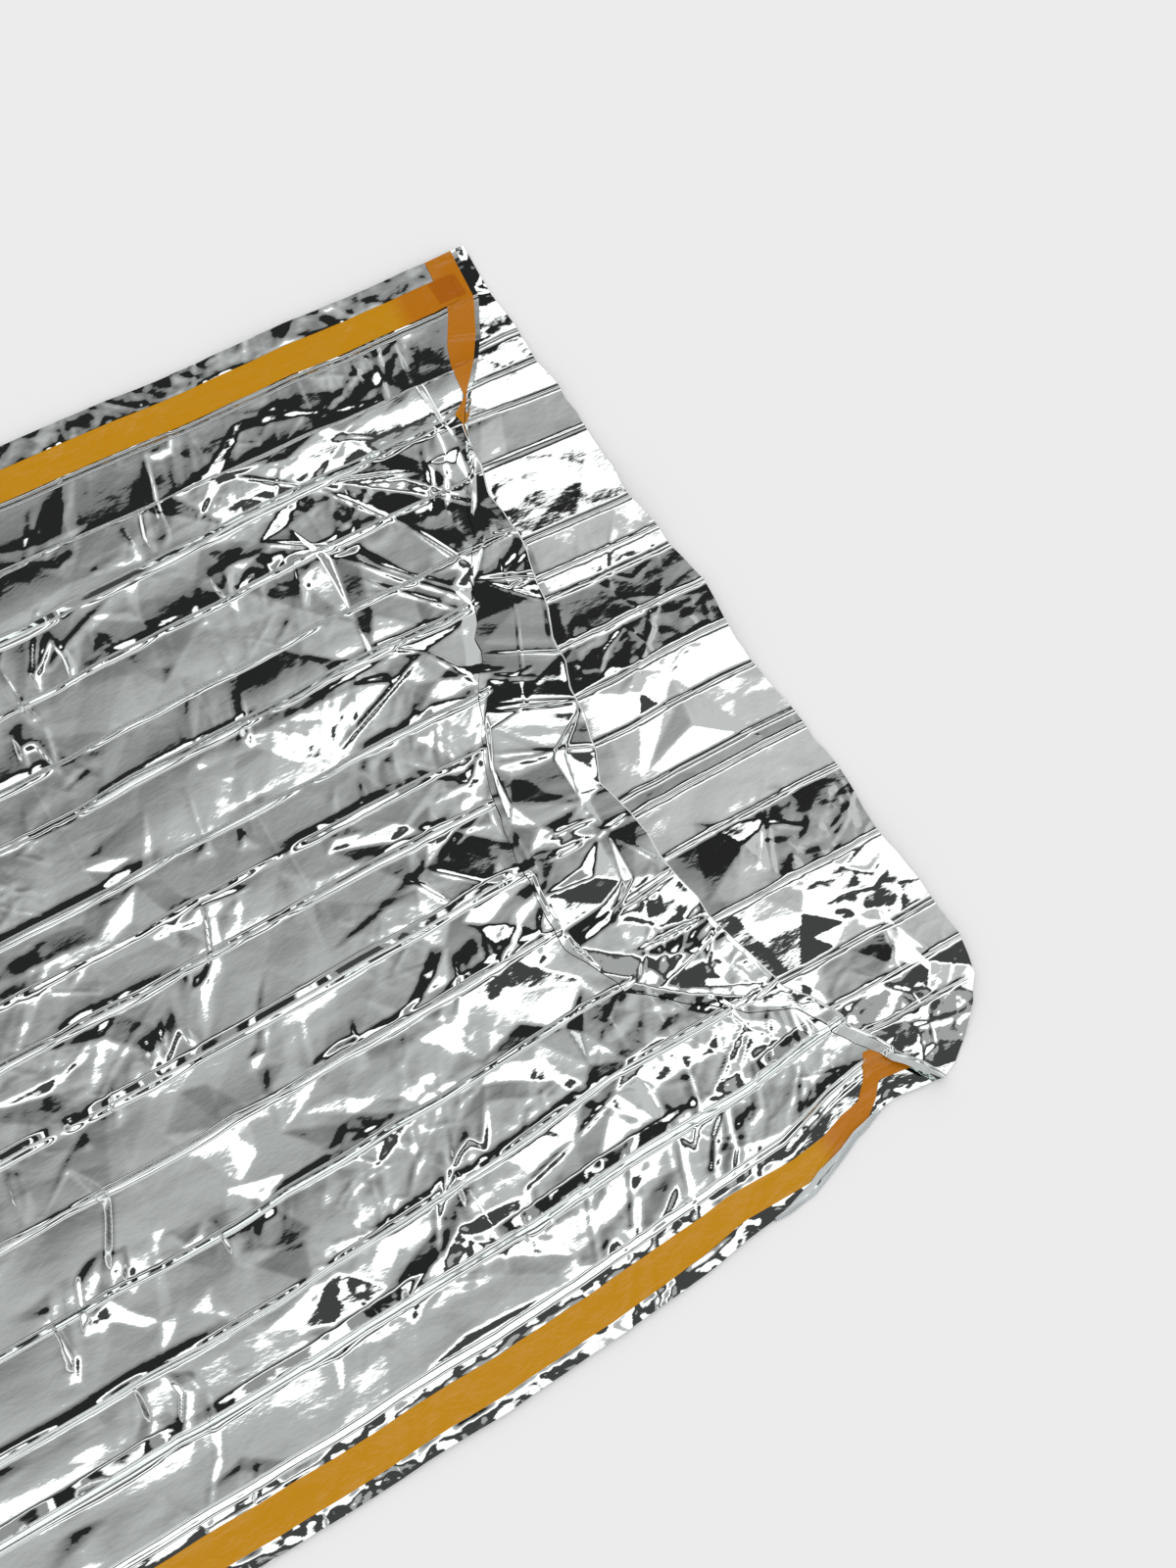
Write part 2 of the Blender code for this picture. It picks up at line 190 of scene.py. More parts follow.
# How far a lengthwise line has moved across by each place along the bag
DRIFT_AT = (-0.457, -0.350, -0.285, 0.0, 0.160, 0.297, 0.350, 0.459)
DRIFTS = table(
    "y left_edge at_m350 at_m285 middle at_p160 at_p297 at_p350 right_edge |",
    (370, 0, 0, 0, 0, 0, 0, 0, 0), (520, 0, 1, -6, -3, -4, -8, -4, -4),
    (670, 2, 3, -15, -5, -8, -22, -10, -14), (770, 1, 4, -15, -5, -8, -22, -12, -25),
    (825, 0, 4, -15, -5, -8, -22, -18, -45), (870, 0, 4, -15, -5, -8, -22, -20, -53),
    (920, 0, 4, -15, -5, -8, -22, -20, -47),
)

# Folds across the bag: where each one runs and how far it stands up, and how it is broken at a band
CROSS_FOLDS = table(
    "y rise |",
    (-855, 1), (-700, 1), (-545, -0.8), (-390, 1), (-235, -0.8), (-80, 0.7), (75, -0.5),
    (230, 0.3), (385, 0.3), (535, 0.3), (698, 0.4),
)
CROSS_SEED = 31
CROSS_SHIFT = (-0.008, 0.008)
CROSS_SIZE = (-0.7, 1.2)
CROSS_FLANK = (0.0025, 0.006)

# The cuff: outermost line of the turned-back edge, how far its free edge comes back,
# share of the half turn made, and how far it leans across for each metre it comes back
CUFF = table(
    "x outer lap | turn lean",
    (-459, 960, 0, 0, 0), (-405, 955, 0, 0, 0), (-370, 936, 0, 0, 0), (-350, 922, 0, 0, 0),
    (-320, 895, 2, 0, -0.1), (-290, 875, 8, 0.4, -0.2), (-250, 865, 14, 0.9, -0.25),
    (-220, 857, 22, 1, -0.3), (-160, 857, 50, 1, -0.35), (-110, 845, 62, 1, -0.45),
    (-65, 832, 68, 1, -0.45), (-15, 820, 85, 1, -0.45), (30, 810, 95, 1, -0.42),
    (55, 798, 92, 1, -0.2), (90, 806, 107, 1, -0.05), (155, 812, 115, 1, 0.1),
    (200, 818, 98, 1, 0.22), (240, 827, 66, 1, 0.26), (280, 836, 38, 1, 0.2),
    (300, 854, 18, 1, 0.2), (340, 876, 13, 1, 0.4), (370, 896, 12, 1, 0.45),
    (392, 913, 12, 1, 0.4), (408, 922, 6, 1, 0.1),
)

# Points where creases meet: height over the sheet round them, reach, arms and turn
FRONT_STARS = table(
    "x y lift reach | arms spin",
    (158, 385, 1.6, 30, 6, 0.2), (228, 385, -1.6, 30, 6, 0.5), (300, 385, 1.8, 30, 6, 0.3),
    (335, 410, -2.2, 30, 5, 0.3),
)

# Sharp folds pulled slantwise across the front panel: from, to, rise and flank widths
PULL_NARROW = 0.70
PULL_LOW = 0.60
PULL_ENDS = 0.3
FRONT_PULLS = table(
    "x0 y0 x1 y1 rise left right |",
    (-341, 660, -300, 722, 1, 4, 4), (-300, 722, -270, 812, 1.4, 4, 5),
    (-300, 722, -228, 775, 1.4, 5, 4), (-228, 775, -168, 806, 1.6, 5, 5),
    (-273, 655, -228, 724, 1.2, 4, 5), (-232, 706, -140, 790, 1.2, 4, 6),
    (-226, 716, -148, 792, 1, 3, 4), (-205, 712, -128, 784, 1, 4, 4),
    (-262, 792, -215, 846, 1.2, 4, 5), (-118, 727, -66, 757, 1.2, 5, 4),
    (-118, 727, -72, 614, 1.2, 4, 6), (-118, 727, -142, 690, 1, 4, 4),
    (-343, 850, -276, 858, 1.2, 4, 4), (50, 630, 90, 672, 1, 4, 4), (55, 615, 90, 636, 1, 4, 4),
    (290, 835, 372, 812, 1.2, 4, 4), (290, 826, 380, 803, 0.9, 3, 3),
    (288, 818, 345, 785, 0.9, 3, 3), (286, 800, 330, 735, 1, 4, 4),
    (300, 792, 322, 768, 1.2, 3, 4), (345, 780, 385, 690, 1, 5, 4), (288, 668, 304, 620, 1, 4, 4),
    (304, 620, 318, 560, 1, 4, 4),
)

# Creases across the mouth tape
TAPE_PULLS = table(
    "x0 y0 x1 y1 rise left right |",
    (-408, 918, -398, 956, 1.2, 4, 3), (-452, 925, -448, 962, 0.9, 3, 3),
    (-380, 898, -366, 940, 1.3, 4, 4), (-352, 890, -345, 926, 0.9, 3, 4),
)

# Net of flat facets on the front panel: place and height over the bands
FRONT_NET = table(
    "x y lift |",
    (-400, 860, 0), (-400, 780, 0), (-398, 690, 0.3), (-400, 600, 0), (-385, 765, -0.4),
    (-366, 830, 1.4), (-368, 752, 1.6), (-360, 700, 0.2), (-372, 640, 1), (-346, 850, 3.4),
    (-346, 760, 3.2), (-343, 662, 3), (-336, 835, 2.5), (-328, 770, 2.3), (-332, 715, 2.2),
    (-345, 610, 0.6), (-328, 603, 2.2), (-276, 856, 0.2), (-274, 822, 0), (-300, 724, 0.2),
    (-288, 746, 1.6), (-267, 798, 2), (-284, 736, -0.3), (-261, 788, -0.4), (-262, 845, 3),
    (-223, 845, 0.6), (-190, 832, 1.6), (-264, 748, 1.8), (-228, 775, 3), (-168, 806, 3.8),
    (-152, 796, 1.6), (-232, 730, 0.4), (-296, 708, 0.2), (-275, 683, 2), (-292, 684, -0.6),
    (-273, 655, 0.4), (-300, 640, 0.2), (-226, 722, 2), (-180, 760, 0.8), (-160, 778, 2.6),
    (-140, 790, 1), (-126, 786, 2.8), (-168, 706, 2.6), (-172, 748, 0.2), (-140, 740, 1.2),
    (-232, 702, 0.2), (-232, 690, 4), (-168, 690, 0.2), (-164, 636, 0.2), (-204, 652, 2.2),
    (-226, 666, 1.4), (-180, 620, 0), (-226, 570, 0.8), (-172, 570, 0), (-250, 610, 1.4),
    (-118, 727, 4), (-66, 757, 2.6), (-145, 692, 1.6), (-132, 683, -0.6), (-106, 692, 1.2),
    (-90, 650, 0.6), (-72, 614, 0.4), (-76, 712, 1.6), (-118, 660, 2.6), (-118, 590, 2.2),
    (-82, 585, 0.2), (-62, 742, 2.6), (-62, 702, 2.4), (-26, 736, 0.2), (-21, 700, 0.2),
    (-62, 676, 0.4), (-20, 672, 0.8), (-60, 600, 0.4), (-18, 600, 0.2), (-8, 702, 0.2),
    (3, 700, 2), (22, 706, 0.2), (25, 650, 2), (2, 662, 1.4), (4, 628, 1.4), (20, 630, 0),
    (42, 700, 1.4), (33, 668, 0.2), (50, 630, 0.4), (56, 614, 2.2), (88, 635, 0.4), (62, 702, 0.2),
    (90, 664, 3.4), (130, 674, 0.4), (105, 633, 0.8), (92, 702, 1), (120, 700, 0.2),
    (148, 690, 1.4), (140, 652, 2.2), (148, 620, 1.2), (118, 608, 0.2), (172, 692, 0.9),
    (172, 632, 0.9), (200, 690, 0.2), (200, 630, 0), (222, 662, -0.8), (220, 634, 1.4),
    (212, 590, 0.2), (165, 570, 1), (168, 548, 0), (228, 705, 0.4), (268, 718, 1.4),
    (270, 690, 2.4), (284, 690, 0), (232, 672, 1.6), (258, 662, 0.2), (262, 600, 0.6),
    (288, 668, 2.4), (300, 700, 0), (330, 690, 2), (304, 620, 0.2), (326, 630, 1.8),
    (300, 762, 0.2), (330, 726, 2), (322, 770, 1.4), (285, 835, 2.6), (278, 775, 1.6),
    (345, 785, 0.4), (380, 803, 2.4), (398, 800, 0.2), (372, 840, 0.8), (348, 732, 0.8),
    (344, 700, 0.2), (370, 712, 1.8), (368, 676, 2.2), (346, 655, 0.2), (388, 700, 0),
    (382, 768, 2.2), (400, 766, 0.2), (392, 640, 0.4), (378, 600, 1.8), (360, 540, 0.2),
    (380, 520, 1.4), (398, 560, 0), (390, 466, 2.4), (360, 440, 0), (400, 425, 0), (-400, 560, 0),
    (-345, 575, 0), (-290, 560, 0), (-200, 530, 0), (-120, 550, 0), (-60, 560, 0), (0, 570, 0),
    (60, 570, 0), (120, 530, 0), (200, 520, 0), (280, 520, 0), (330, 480, 0),
)

# Net of flat facets on the cuff, over its plain slope: along its fold, and past it
CUFF_FOLD = table(
    "x y lift |",
    (-320, 895, 0), (-290, 875, 0.4), (-250, 865, 0.2), (-220, 857, 0), (-160, 857, 0.6),
    (-110, 845, 3.6), (-65, 832, 0.2), (-15, 820, 4.2), (30, 810, 4), (55, 798, 0.2),
    (90, 806, 2.4), (155, 812, 5.2), (200, 818, 1), (240, 827, 2), (280, 836, 0.2), (300, 854, 0),
)
CUFF_NET = table(
    "x y lift |",
    (-200, 830, 0), (-150, 805, 1.2), (-120, 828, 2.4), (-122, 775, 2.2), (-100, 775, 2),
    (-75, 760, 1.4), (-50, 800, 1.2), (-45, 745, 1.4), (-33, 775, 4.2), (-30, 740, 3.6),
    (0, 725, 1), (12, 780, 0.5), (19, 784, 4.2), (18, 774, 0.6), (16, 735, 0.6), (64, 782, 0.6),
    (64, 774, 1.8), (65, 732, 2), (36, 722, 2.4), (50, 712, 0), (78, 745, 3), (95, 780, 2.2),
    (95, 771, 1.2), (88, 738, 1), (80, 712, 1), (112, 742, 0.8), (125, 748, 3.6), (118, 702, 3.2),
    (142, 777, 5.2), (138, 768, 1.4), (148, 744, 1), (152, 702, 0.8), (165, 745, 4), (170, 705, 3),
    (190, 775, 1), (198, 740, 4), (205, 715, 0), (220, 785, 4), (240, 760, 1), (260, 800, 3.6),
    (280, 795, 0),
)

# Sharp creases of the cuff, the first three over the tape that it hides
CUFF_PULLS = table(
    "x0 y0 x1 y1 rise left right |",
    (-175, 834, -108, 815, 0.6, 2, 2), (-112, 816, -58, 790, 0.6, 2, 2),
    (-62, 792, -26, 774, 0.6, 2, 2), (-110, 845, -152, 806, 1, 4, 3),
    (-50, 802, -76, 760, 1.2, 3, 4), (-15, 820, -46, 745, 1.2, 3, 3),
    (28, 810, 14, 780, 0.8, 3, 3), (15, 782, 0, 726, 1.2, 4, 3), (90, 806, 95, 779, 0.8, 3, 3),
    (155, 812, 98, 780, 0.9, 3, 4), (142, 777, 165, 735, 1.2, 3, 4), (155, 812, 163, 742, 1, 3, 3),
    (80, 780, 76, 730, 1.2, 4, 4), (200, 818, 196, 735, 1.4, 4, 4),
    (208, 815, 236, 790, 1.2, 3, 3),
)

# Outer edge of the back panel's mouth, and the height of each lengthwise crease at the cuff,
# halfway and at the free edge
BACK_CREASES = table(
    "u x y near half far |",
    (-457, -459, 970, 0, 0, 0), (-395, -395, 966, 0.2, 0.2, 0.2), (-360, -358, 968, 1.5, 1.7, 1.8),
    (-325, -325, 967, 3, 3.5, 3.6), (-285, -290, 970, 5, 6, 6), (-240, -246, 972, 1.9, 2.3, 2.8),
    (-160, -165, 968, 8, 9.6, 9.8), (-125, -130, 976, 5.8, 6.6, 6.8),
    (-105, -110, 977, 3.6, 4, 4.2), (-61, -66, 984, 4.2, 4.5, 4.6), (-17, -22, 979, 6, 6.4, 6.5),
    (26, 21, 981, 2.2, 2.6, 2.8), (81, 75, 990, 0.4, 0.2, 0.4), (98, 91, 990, 1.2, 1.2, 1.3),
    (144, 137, 994, 0.6, 0.9, 1), (217, 206, 991, 5.6, 6, 6.2), (297, 279, 999, 2.4, 2.8, 2.8),
    (335, 318, 1000, 4.4, 4.8, 5), (372, 351, 992, 2.6, 3, 3), (397, 370, 978, 1.4, 1.8, 1.6),
    (420, 390, 957, 0.6, 0.8, 0.6), (440, 405, 936, 0, 0, 0), (459, 411, 921, 0, 0, 0),
)
BACK_STARS = table(
    "x y lift reach | arms spin",
    (-285, 885, 1.2, 30, 5, 0.3), (-215, 900, 0.8, 35, 5, 0.8), (0, 875, 2, 30, 5, 0.2),
    (45, 900, 1.6, 40, 4, 0.5), (160, 880, 2.2, 35, 5, 0.4), (235, 890, 2, 35, 5, 0.1),
    (312, 935, 3.2, 45, 6, 0.3), (350, 965, 2.4, 35, 6, 0.8),
)
BACK_PLACES = (0.25, 0.6, 1.0)
BACK_BODY = (FOOT_Y, 0.5, 0.70)
BACK_BODY_STEP = 0.10
BACK_SETTLE = 0.030
BACK_CREST = 0.0007
BACK_CREST_WIDE = 0.0030
BACK_CREST_TO = 0.38
BACK_RIPPLE = 0.00014
HIDDEN_ROWS = 14
MOUTH_UNEVEN = 0.0016
UNEVEN_TO = 0.40

# Parts of the foil that are crumpled more finely: centre, half sizes and how much
FRONT_PATCHES = table(
    "x y wide long | amount",
    (-390, 800, 30, 60, 1), (-300, 690, 20, 50, 0.9), (-260, 745, 25, 30, 0.8),
    (-210, 630, 30, 50, 0.5), (-100, 640, 20, 50, 0.6), (-40, 680, 30, 30, 0.6),
    (250, 480, 30, 50, 0.8), (200, 560, 40, 30, 0.6), (330, 780, 50, 60, 1),
    (260, 720, 40, 40, 0.8), (345, 620, 15, 150, 0.9), (270, 620, 20, 30, 0.7),
)
CORNER_PATCHES = table(
    "x y wide long | amount",
    (385, 800, 30, 90, 1), (-385, 840, 28, 60, 0.8), (-390, 660, 20, 60, 0.5),
)
CUFF_PATCHES = table(
    "x y wide long | amount",
    (200, 780, 45, 50, 1), (250, 800, 40, 30, 1), (-180, 845, 40, 20, 0.8), (90, 765, 20, 20, 0.6),
    (90, 715, 60, 12, 0.8),
)
BACK_PATCHES = table(
    "x y wide long | amount",
    (-430, 960, 80, 30, 0.7), (-120, 930, 20, 50, 0.7), (-45, 900, 30, 60, 1),
    (175, 930, 40, 50, 1), (250, 955, 40, 30, 0.6), (350, 920, 50, 50, 1),
)
PATCH_EDGE = 1.6

# Small relief: height on smooth foil, how much more where it is finely crumpled, and its cells
SMALL = "smooth fine cell | kind seed turn"
FRONT_SMALL = table(
    SMALL,
    (0.9, 0, 60, "facets", 3, 0), (0.01, 0.25, 46, "creases", 5, 0.4),
    (0, 0.22, 26, "creases", 9, 1.1), (0, 0.6, 26, "facets", 7, 0), (0, 0.08, 8, "facets", 13, 0),
)
CUFF_SMALL = table(
    SMALL,
    (0.3, 0, 40, "facets", 61, 0), (0, 0.7, 22, "facets", 67, 0),
    (0, 0.3, 26, "creases", 69, 0.7), (0.02, 0.08, 8, "facets", 71, 0),
)
BACK_SMALL = table(
    SMALL,
    (0.6, 0, 45, "facets", 81, 0), (0, 0.8, 22, "facets", 83, 0),
    (0.024, 0.3, 30, "creases", 85, 0.5), (0.01, 0.1, 8, "facets", 87, 0),
)

# Bumps and dents strewn over the front panel: the part of a field that is over a share
DENTS = table(
    "height cell | over seed stretch turn",
    (2.6, 40, 0.42, 37, 1.4, 0.5), (-2, 44, 0.50, 39, 1.3, -0.4),
)

# Heights of the finest relief of the front panel
RIPPLE = 0.0003
STROKE = 0.0010
STROKE_STEEP = 0.20
STROKE_SLOW = 0.60
ROLL = 0.00006
CORNER_CRUMPLE = 0.0015
MARGIN_CRUMPLE = 0.0005

# How finely the front panel is crumpled: everywhere, in a patch, by a crest and in the margin
FINE_LEAST = 0.06
FINE_PATCH = 0.9
FINE_CREST = 0.18
FINE_MARGIN = 0.9
CREST_REACH = 0.012
MARGIN_SHORT = 0.008
MARGIN_FADE = 0.010

# A field is a sheet of flat triangles, from a table of random heights of this size
FIELD_SIZE = (97, 89)
FIELD_WAVE = 0.12
CREASE_WIDE = 0.16
LAYERS = table(
    "share scale stretch turn",
    (0.55, 1.0, 1.4, 0.35), (0.35, 0.62, 1.7, 1.35), (0.22, 0.41, 1.5, 2.3),
)

# Fields: size of a cell, seed, stretch and turn
WANDER_FIELD = (0.050, 47)
STEP_FIELD = (0.034, 109, 1.0, 0.4)
STREWN_FIELD = (0.070, 29, 1.6, 0.2)
FEATHER_FIELD = (0.048, 35, 1.5, 0.3)
RIPPLE_FIELD = (0.0085, 45, 4.0, 0.35)
STROKE_FIELD = (0.018, 49, 2.8, 0.25)
ROLL_FIELD = (0.012, 41, 7.0, 0.02)
CORNER_FIELD = (0.036, 11)
MARGIN_FIELD = (0.012, 15)
FLAP_FIELD = (0.030, 63)
BACK_FEATHER_FIELD = (0.050, 93, 1.5, 0.6)
BACK_RIPPLE_FIELD = (0.009, 89, 6.0, 0.25)

# Lines across a field: where they cross it, size of a cell and seed
FOLD_LINE = (0.31, 0.024, 101)
FREE_EDGE_LINE = (0.77, 0.012, 103)
FOOT_LINE = (0.13, 0.070, 27)
BAND_LINE = (0.7, 0.060, 33)
SQUASH_LINE = (0.53, 0.060, 107)
MOUTH_LINE = (0.37, 0.016, 91)

# Light of the studio by the direction that the foil mirrors: bands across, then bands ahead over
# them, then bands by height over both, for what is seen from low down. A band without brightness
# leaves what is behind it.
ACROSS_BANDS = table(
    "start bright rim",
    (-1, 0.03, 0), (-0.84, 1.2, 0.015), (-0.78, 0.02, 0.015), (-0.66, 0.32, 0.03),
    (-0.55, 1.25, 0.015), (-0.46, 0.02, 0.015), (-0.325, None, 0.012), (-0.14, 1.25, 0.01),
    (-0.03, 0.06, 0.012), (0.08, 0.4, 0.012), (0.16, 1.3, 0.01), (0.34, 0.02, 0.02),
    (0.5, 0.35, 0.03), (0.62, 1.3, 0.02), (0.9, 0.05, 0.02),
)
AHEAD_BANDS = table(
    "start bright rim",
    (-1, 0.1, 0), (-0.92, 0.45, 0.03), (-0.8, 0.06, 0.02), (-0.72, 1, 0.02), (-0.62, 0.25, 0.02),
    (-0.42, 1.25, 0.02), (-0.24, 0.12, 0.015), (-0.205, 0.38, 0.02), (-0.155, 1, 0.015),
    (-0.13, 0.3, 0.015), (-0.1, None, 0.02), (0.55, 1.25, 0.02), (0.74, 0.32, 0.03),
    (0.82, 1, 0.02), (0.9, 0.15, 0.03),
)
UP_BANDS = table(
    "start bright rim",
    (-1, 0.06, 0), (0.185, 0.34, 0.02), (0.29, 1.1, 0.015), (0.345, None, 0.015),
)
BRIGHTEST = 1.30
PALE = 0.84

# Soft patches: a low card in the studio, and where the side tape and the mouth tape overlap
PATCH_INPUTS = ("Left", "Right", "Near", "Far", "Bright", "Rim")
LOW_CARD = (-0.31, -0.14, 0.43, 0.52, 0.60, 0.020)
OVERLAP = (-0.436, -0.412, 0.918, 0.946, 1.0, 0.002)

# Slow changes of the studio's grey: from, to, and the light at each
GREY_ACROSS = (-0.35, -0.10, 0.17, 0.57)
GREY_AHEAD = (0.10, 0.50, 0.00, 0.12)

# Colours and finish
FOIL_OUTER = (0.86, 0.90, 0.89, 1.0)
FOIL_INNER = (0.87, 0.90, 0.89, 1.0)
FOIL_ROUGHNESS = 0.022
FOIL_DEPTH = 0.00003
PALE_EDGE = (0.66, 0.70, 0.71, 1.0)
PALE_ROUGHNESS = 0.50
PALE_DEPTH = 0.00004
AMBER = (0.640, 0.290, 0.006, 1.0)
AMBER_AT_MOUTH = (0.560, 0.190, 0.004, 1.0)
AMBER_DOUBLE = (0.470, 0.130, 0.003, 1.0)
AMBER_CHANGE = (0.830, 0.848, 0.0, 1.0)
AMBER_SLANT = 0.10
TAPE_ROUGHNESS = 0.13
TAPE_GLOSS = 0.45
TAPE_CREASES = 90.0
TAPE_DEPTH = 0.00012
FLOOR_HALF = 12.0
FLOOR_COLOUR = (1.0, 1.0, 1.0, 1.0)
FLOOR_ROUGHNESS = 0.9

# Camera: where it stands, the way it looks in degrees, its roll and its lens in millimetres
CAMERA_AT = (0.520, 0.150, 1.875)
CAMERA_AZIMUTH = 36.28
CAMERA_ELEVATION = 66.94
CAMERA_ROLL = 23.65
CAMERA_LENS = 55.17

# Grid steps, and the lines between the parts of the front sheet
COLUMN_STEP = 0.0018
ROW_STEP = 0.0018
FOOT_ROW_STEP = 0.009
FINE_FROM = 0.200
FOLD_STEP = 0.0007
PARTS_AT = (LEFT_EDGE, -0.228, -0.012, 0.230, RIGHT_EDGE)


def unit(value):
    """The value, kept between 0 and 1."""
    return np.clip(value, 0, 1)


def ridge(place, crest, left, right):
    """1 at the crest, falling straight to 0 over the width of the flank on each side."""
    return unit(np.minimum((place - crest) / left, (crest - place) / right) + 1)


def column(rows, name):
    return np.array([getattr(row, name) for row in rows])


def read(rows, name, place):
    """Value of a table's column at a place along the table's first column."""
    return np.interp(place, column(rows, rows[0]._fields[0]), column(rows, name))


def share_of(number, stops, place):
    """1 at the numbered stop, falling to 0 at the stops beside it."""
    return np.interp(place, stops, np.eye(len(stops))[number])


def facets(x, y, cell, seed, stretch=1.0, turn=0.0):
    """Heights from -1 to 1 of a field of flat triangles, one cell across."""
    dice = np.random.RandomState(seed)
    heights = dice.uniform(-1, 1, FIELD_SIZE)
    flips = dice.uniform(-1, 1, FIELD_SIZE)
    across = (x * math.cos(turn) + y * math.sin(turn)) / cell
    along = (y * math.cos(turn) - x * math.sin(turn)) / (cell * stretch)
    across = across + FIELD_WAVE * np.sin(2.3 * along + seed)
    along = along + FIELD_WAVE * np.sin(1.9 * across + 2 * seed)
    i = np.floor(across).astype(int)
    j = np.floor(along).astype(int)
    a = across - i
    b = along - j
    i0, i1 = i % FIELD_SIZE[0], (i + 1) % FIELD_SIZE[0]
    j0, j1 = j % FIELD_SIZE[1], (j + 1) % FIELD_SIZE[1]
    h00, h10, h01, h11 = heights[i0, j0], heights[i1, j0], heights[i0, j1], heights[i1, j1]
    flip = flips[i0, j0] > 0
    a = np.where(flip, 1 - a, a)
    near, far = np.where(flip, h10, h00), np.where(flip, h00, h10)
    up_near, up_far = np.where(flip, h11, h01), np.where(flip, h01, h11)
    low = near + a * (far - near) + b * (up_near - near)
    high = up_far + (1 - a) * (up_near - up_far) + (1 - b) * (far - up_far)
    return np.where(a + b < 1, low, high)


def crumple(x, y, cell, seed, turn=0.0):
    """Flat facets of mixed size that meet in straight creases running all ways."""
    total = 0.0
    for number, layer in enumerate(LAYERS):
        field = facets(x, y, cell * layer.scale, seed + number, layer.stretch, layer.turn + turn)
        total = total + layer.share * field
    return total


def creases(x, y, cell, seed, turn):
    """Straight creases, 1 at the crest of each and 0 on the flat foil between them."""
    first = np.abs(facets(x, y, cell, seed, 1.5, turn))
    second = np.abs(facets(x, y, cell, seed + 1, 1.3, turn + 0.9))
    return unit(1 - np.minimum(first, second) / CREASE_WIDE)


def small_relief(rows, fine, x, y):
    """Height of small facets and creases, more of them where the foil is finely crumpled."""
    total = np.zeros(np.broadcast(x, y).shape)
    for row in rows:
        kind = crumple if row.kind == "facets" else creases
        total += (row.smooth + row.fine * fine) * kind(x, y, row.cell, row.seed, row.turn)
    return total


def patched(patches, x, y):
    """How finely crumpled the foil is, from 0 to 1."""
    total = np.zeros(np.broadcast(x, y).shape)
    for patch in patches:
        away = np.hypot((x - patch.x) / patch.wide, (y - patch.y) / patch.long)
        total = np.maximum(total, patch.amount * unit(PATCH_EDGE - away))
    return total


def stars(points, x, y):
    """Height of many-sided points, each a low pyramid with its own number of sides."""
    total = np.zeros(np.shape(x))
    for star in points:
        worst = np.zeros(np.shape(x))
        for arm in range(star.arms):
            uneven = 0.5 * math.sin(7 * arm + 11 * star.spin)
            angle = star.spin + 2 * math.pi * arm / star.arms + uneven
            ahead = (x - star.x) * math.cos(angle) + (y - star.y) * math.sin(angle)
            reach = star.reach * (1 + 0.4 * math.sin(5 * arm + star.spin))
            worst = np.maximum(worst, ahead / reach)
        total += star.lift * unit(1 - worst)
    return total


def pulled(folds, x, y):
    """Height of straight folds between two points, with a flank on each side."""
    total = np.zeros(np.shape(x))
    for fold in folds:
        length = math.hypot(fold.x1 - fold.x0, fold.y1 - fold.y0)
        along_x = (fold.x1 - fold.x0) / length
        along_y = (fold.y1 - fold.y0) / length
        along = (x - fold.x0) * along_x + (y - fold.y0) * along_y
        aside = (x - fold.x0) * along_y - (y - fold.y0) * along_x
        ends = unit(np.minimum(along, length - along) / (PULL_ENDS * length))
        wide = PULL_NARROW * np.where(aside > 0, fold.right, fold.left)
        flank = unit(1 - np.abs(aside) / wide)
        total = np.maximum(total, PULL_LOW * fold.rise * ends * flank)
    return total


def net_height(nodes, x, y):
    """Height over a net of flat triangles drawn between the nodes, 0 outside it."""
    flat = [Vector((node.x, node.y)) for node in nodes]
    triangles = delaunay_2d_cdt(flat, [], [], 0, 1e-6)[2]
    x, y = np.broadcast_arrays(x, y)
    total = np.zeros(x.shape)
    for corners in triangles:
        a, b, c = (nodes[k] for k in corners)
        size = (b.x - a.x) * (c.y - a.y) - (c.x - a.x) * (b.y - a.y)
        near = (x >= min(a.x, b.x, c.x)) & (x <= max(a.x, b.x, c.x))
        near = np.nonzero(near & (y >= min(a.y, b.y, c.y)) & (y <= max(a.y, b.y, c.y)))
        from_x = x[near] - a.x
        from_y = y[near] - a.y
        to_b = (from_x * (c.y - a.y) - (c.x - a.x) * from_y) / size
        to_c = ((b.x - a.x) * from_y - from_x * (b.y - a.y)) / size
        inner = (to_b >= -1e-4) & (to_c >= -1e-4) & (to_b + to_c <= 1.0001)
        height = a.lift + to_b * (b.lift - a.lift) + to_c * (c.lift - a.lift)
        total[near] = np.where(inner, height, total[near])
    return total


def drifted(u, y):
    """Place across the bag of the lengthwise line u, at y along it."""
    shift = np.zeros(np.broadcast(u, y).shape)
    for number, name in enumerate(DRIFTS[0]._fields[1:]):
        shift += share_of(number, DRIFT_AT, u) * read(DRIFTS, name, y)
    started = unit((y - FINE_FROM) / WANDER_FROM)
    return u + shift + CREST_WANDER * facets(u * 0.4, y, *WANDER_FIELD) * started


def mouth_x(u):
    return drifted(u, np.full(np.shape(u), MOUTH_AT))


def fold_y(u):
    """Where the front panel starts to turn up at its mouth."""
    x = mouth_x(u)
    turned = read(CUFF, "turn", x)
    wander = FOLD_WANDER * turned * facets(u, *FOLD_LINE)
    margin = TURN_RADIUS + (EDGE_MARGIN - TURN_RADIUS) * (1 - turned)
    return read(CUFF, "outer", x) - margin + wander


def past_fold(u):
    """Length of cloth past the fold line, round the turn and along the cuff."""
    x = mouth_x(u)
    turned = read(CUFF, "turn", x)
    cuff = read(CUFF, "lap", x) + (math.pi - 1) * TURN_RADIUS
    uneven = FREE_EDGE_UNEVEN * turned * facets(u, *FREE_EDGE_LINE)
    return EDGE_MARGIN * (1 - turned) + np.maximum(cuff, EDGE_MARGIN) * turned + uneven


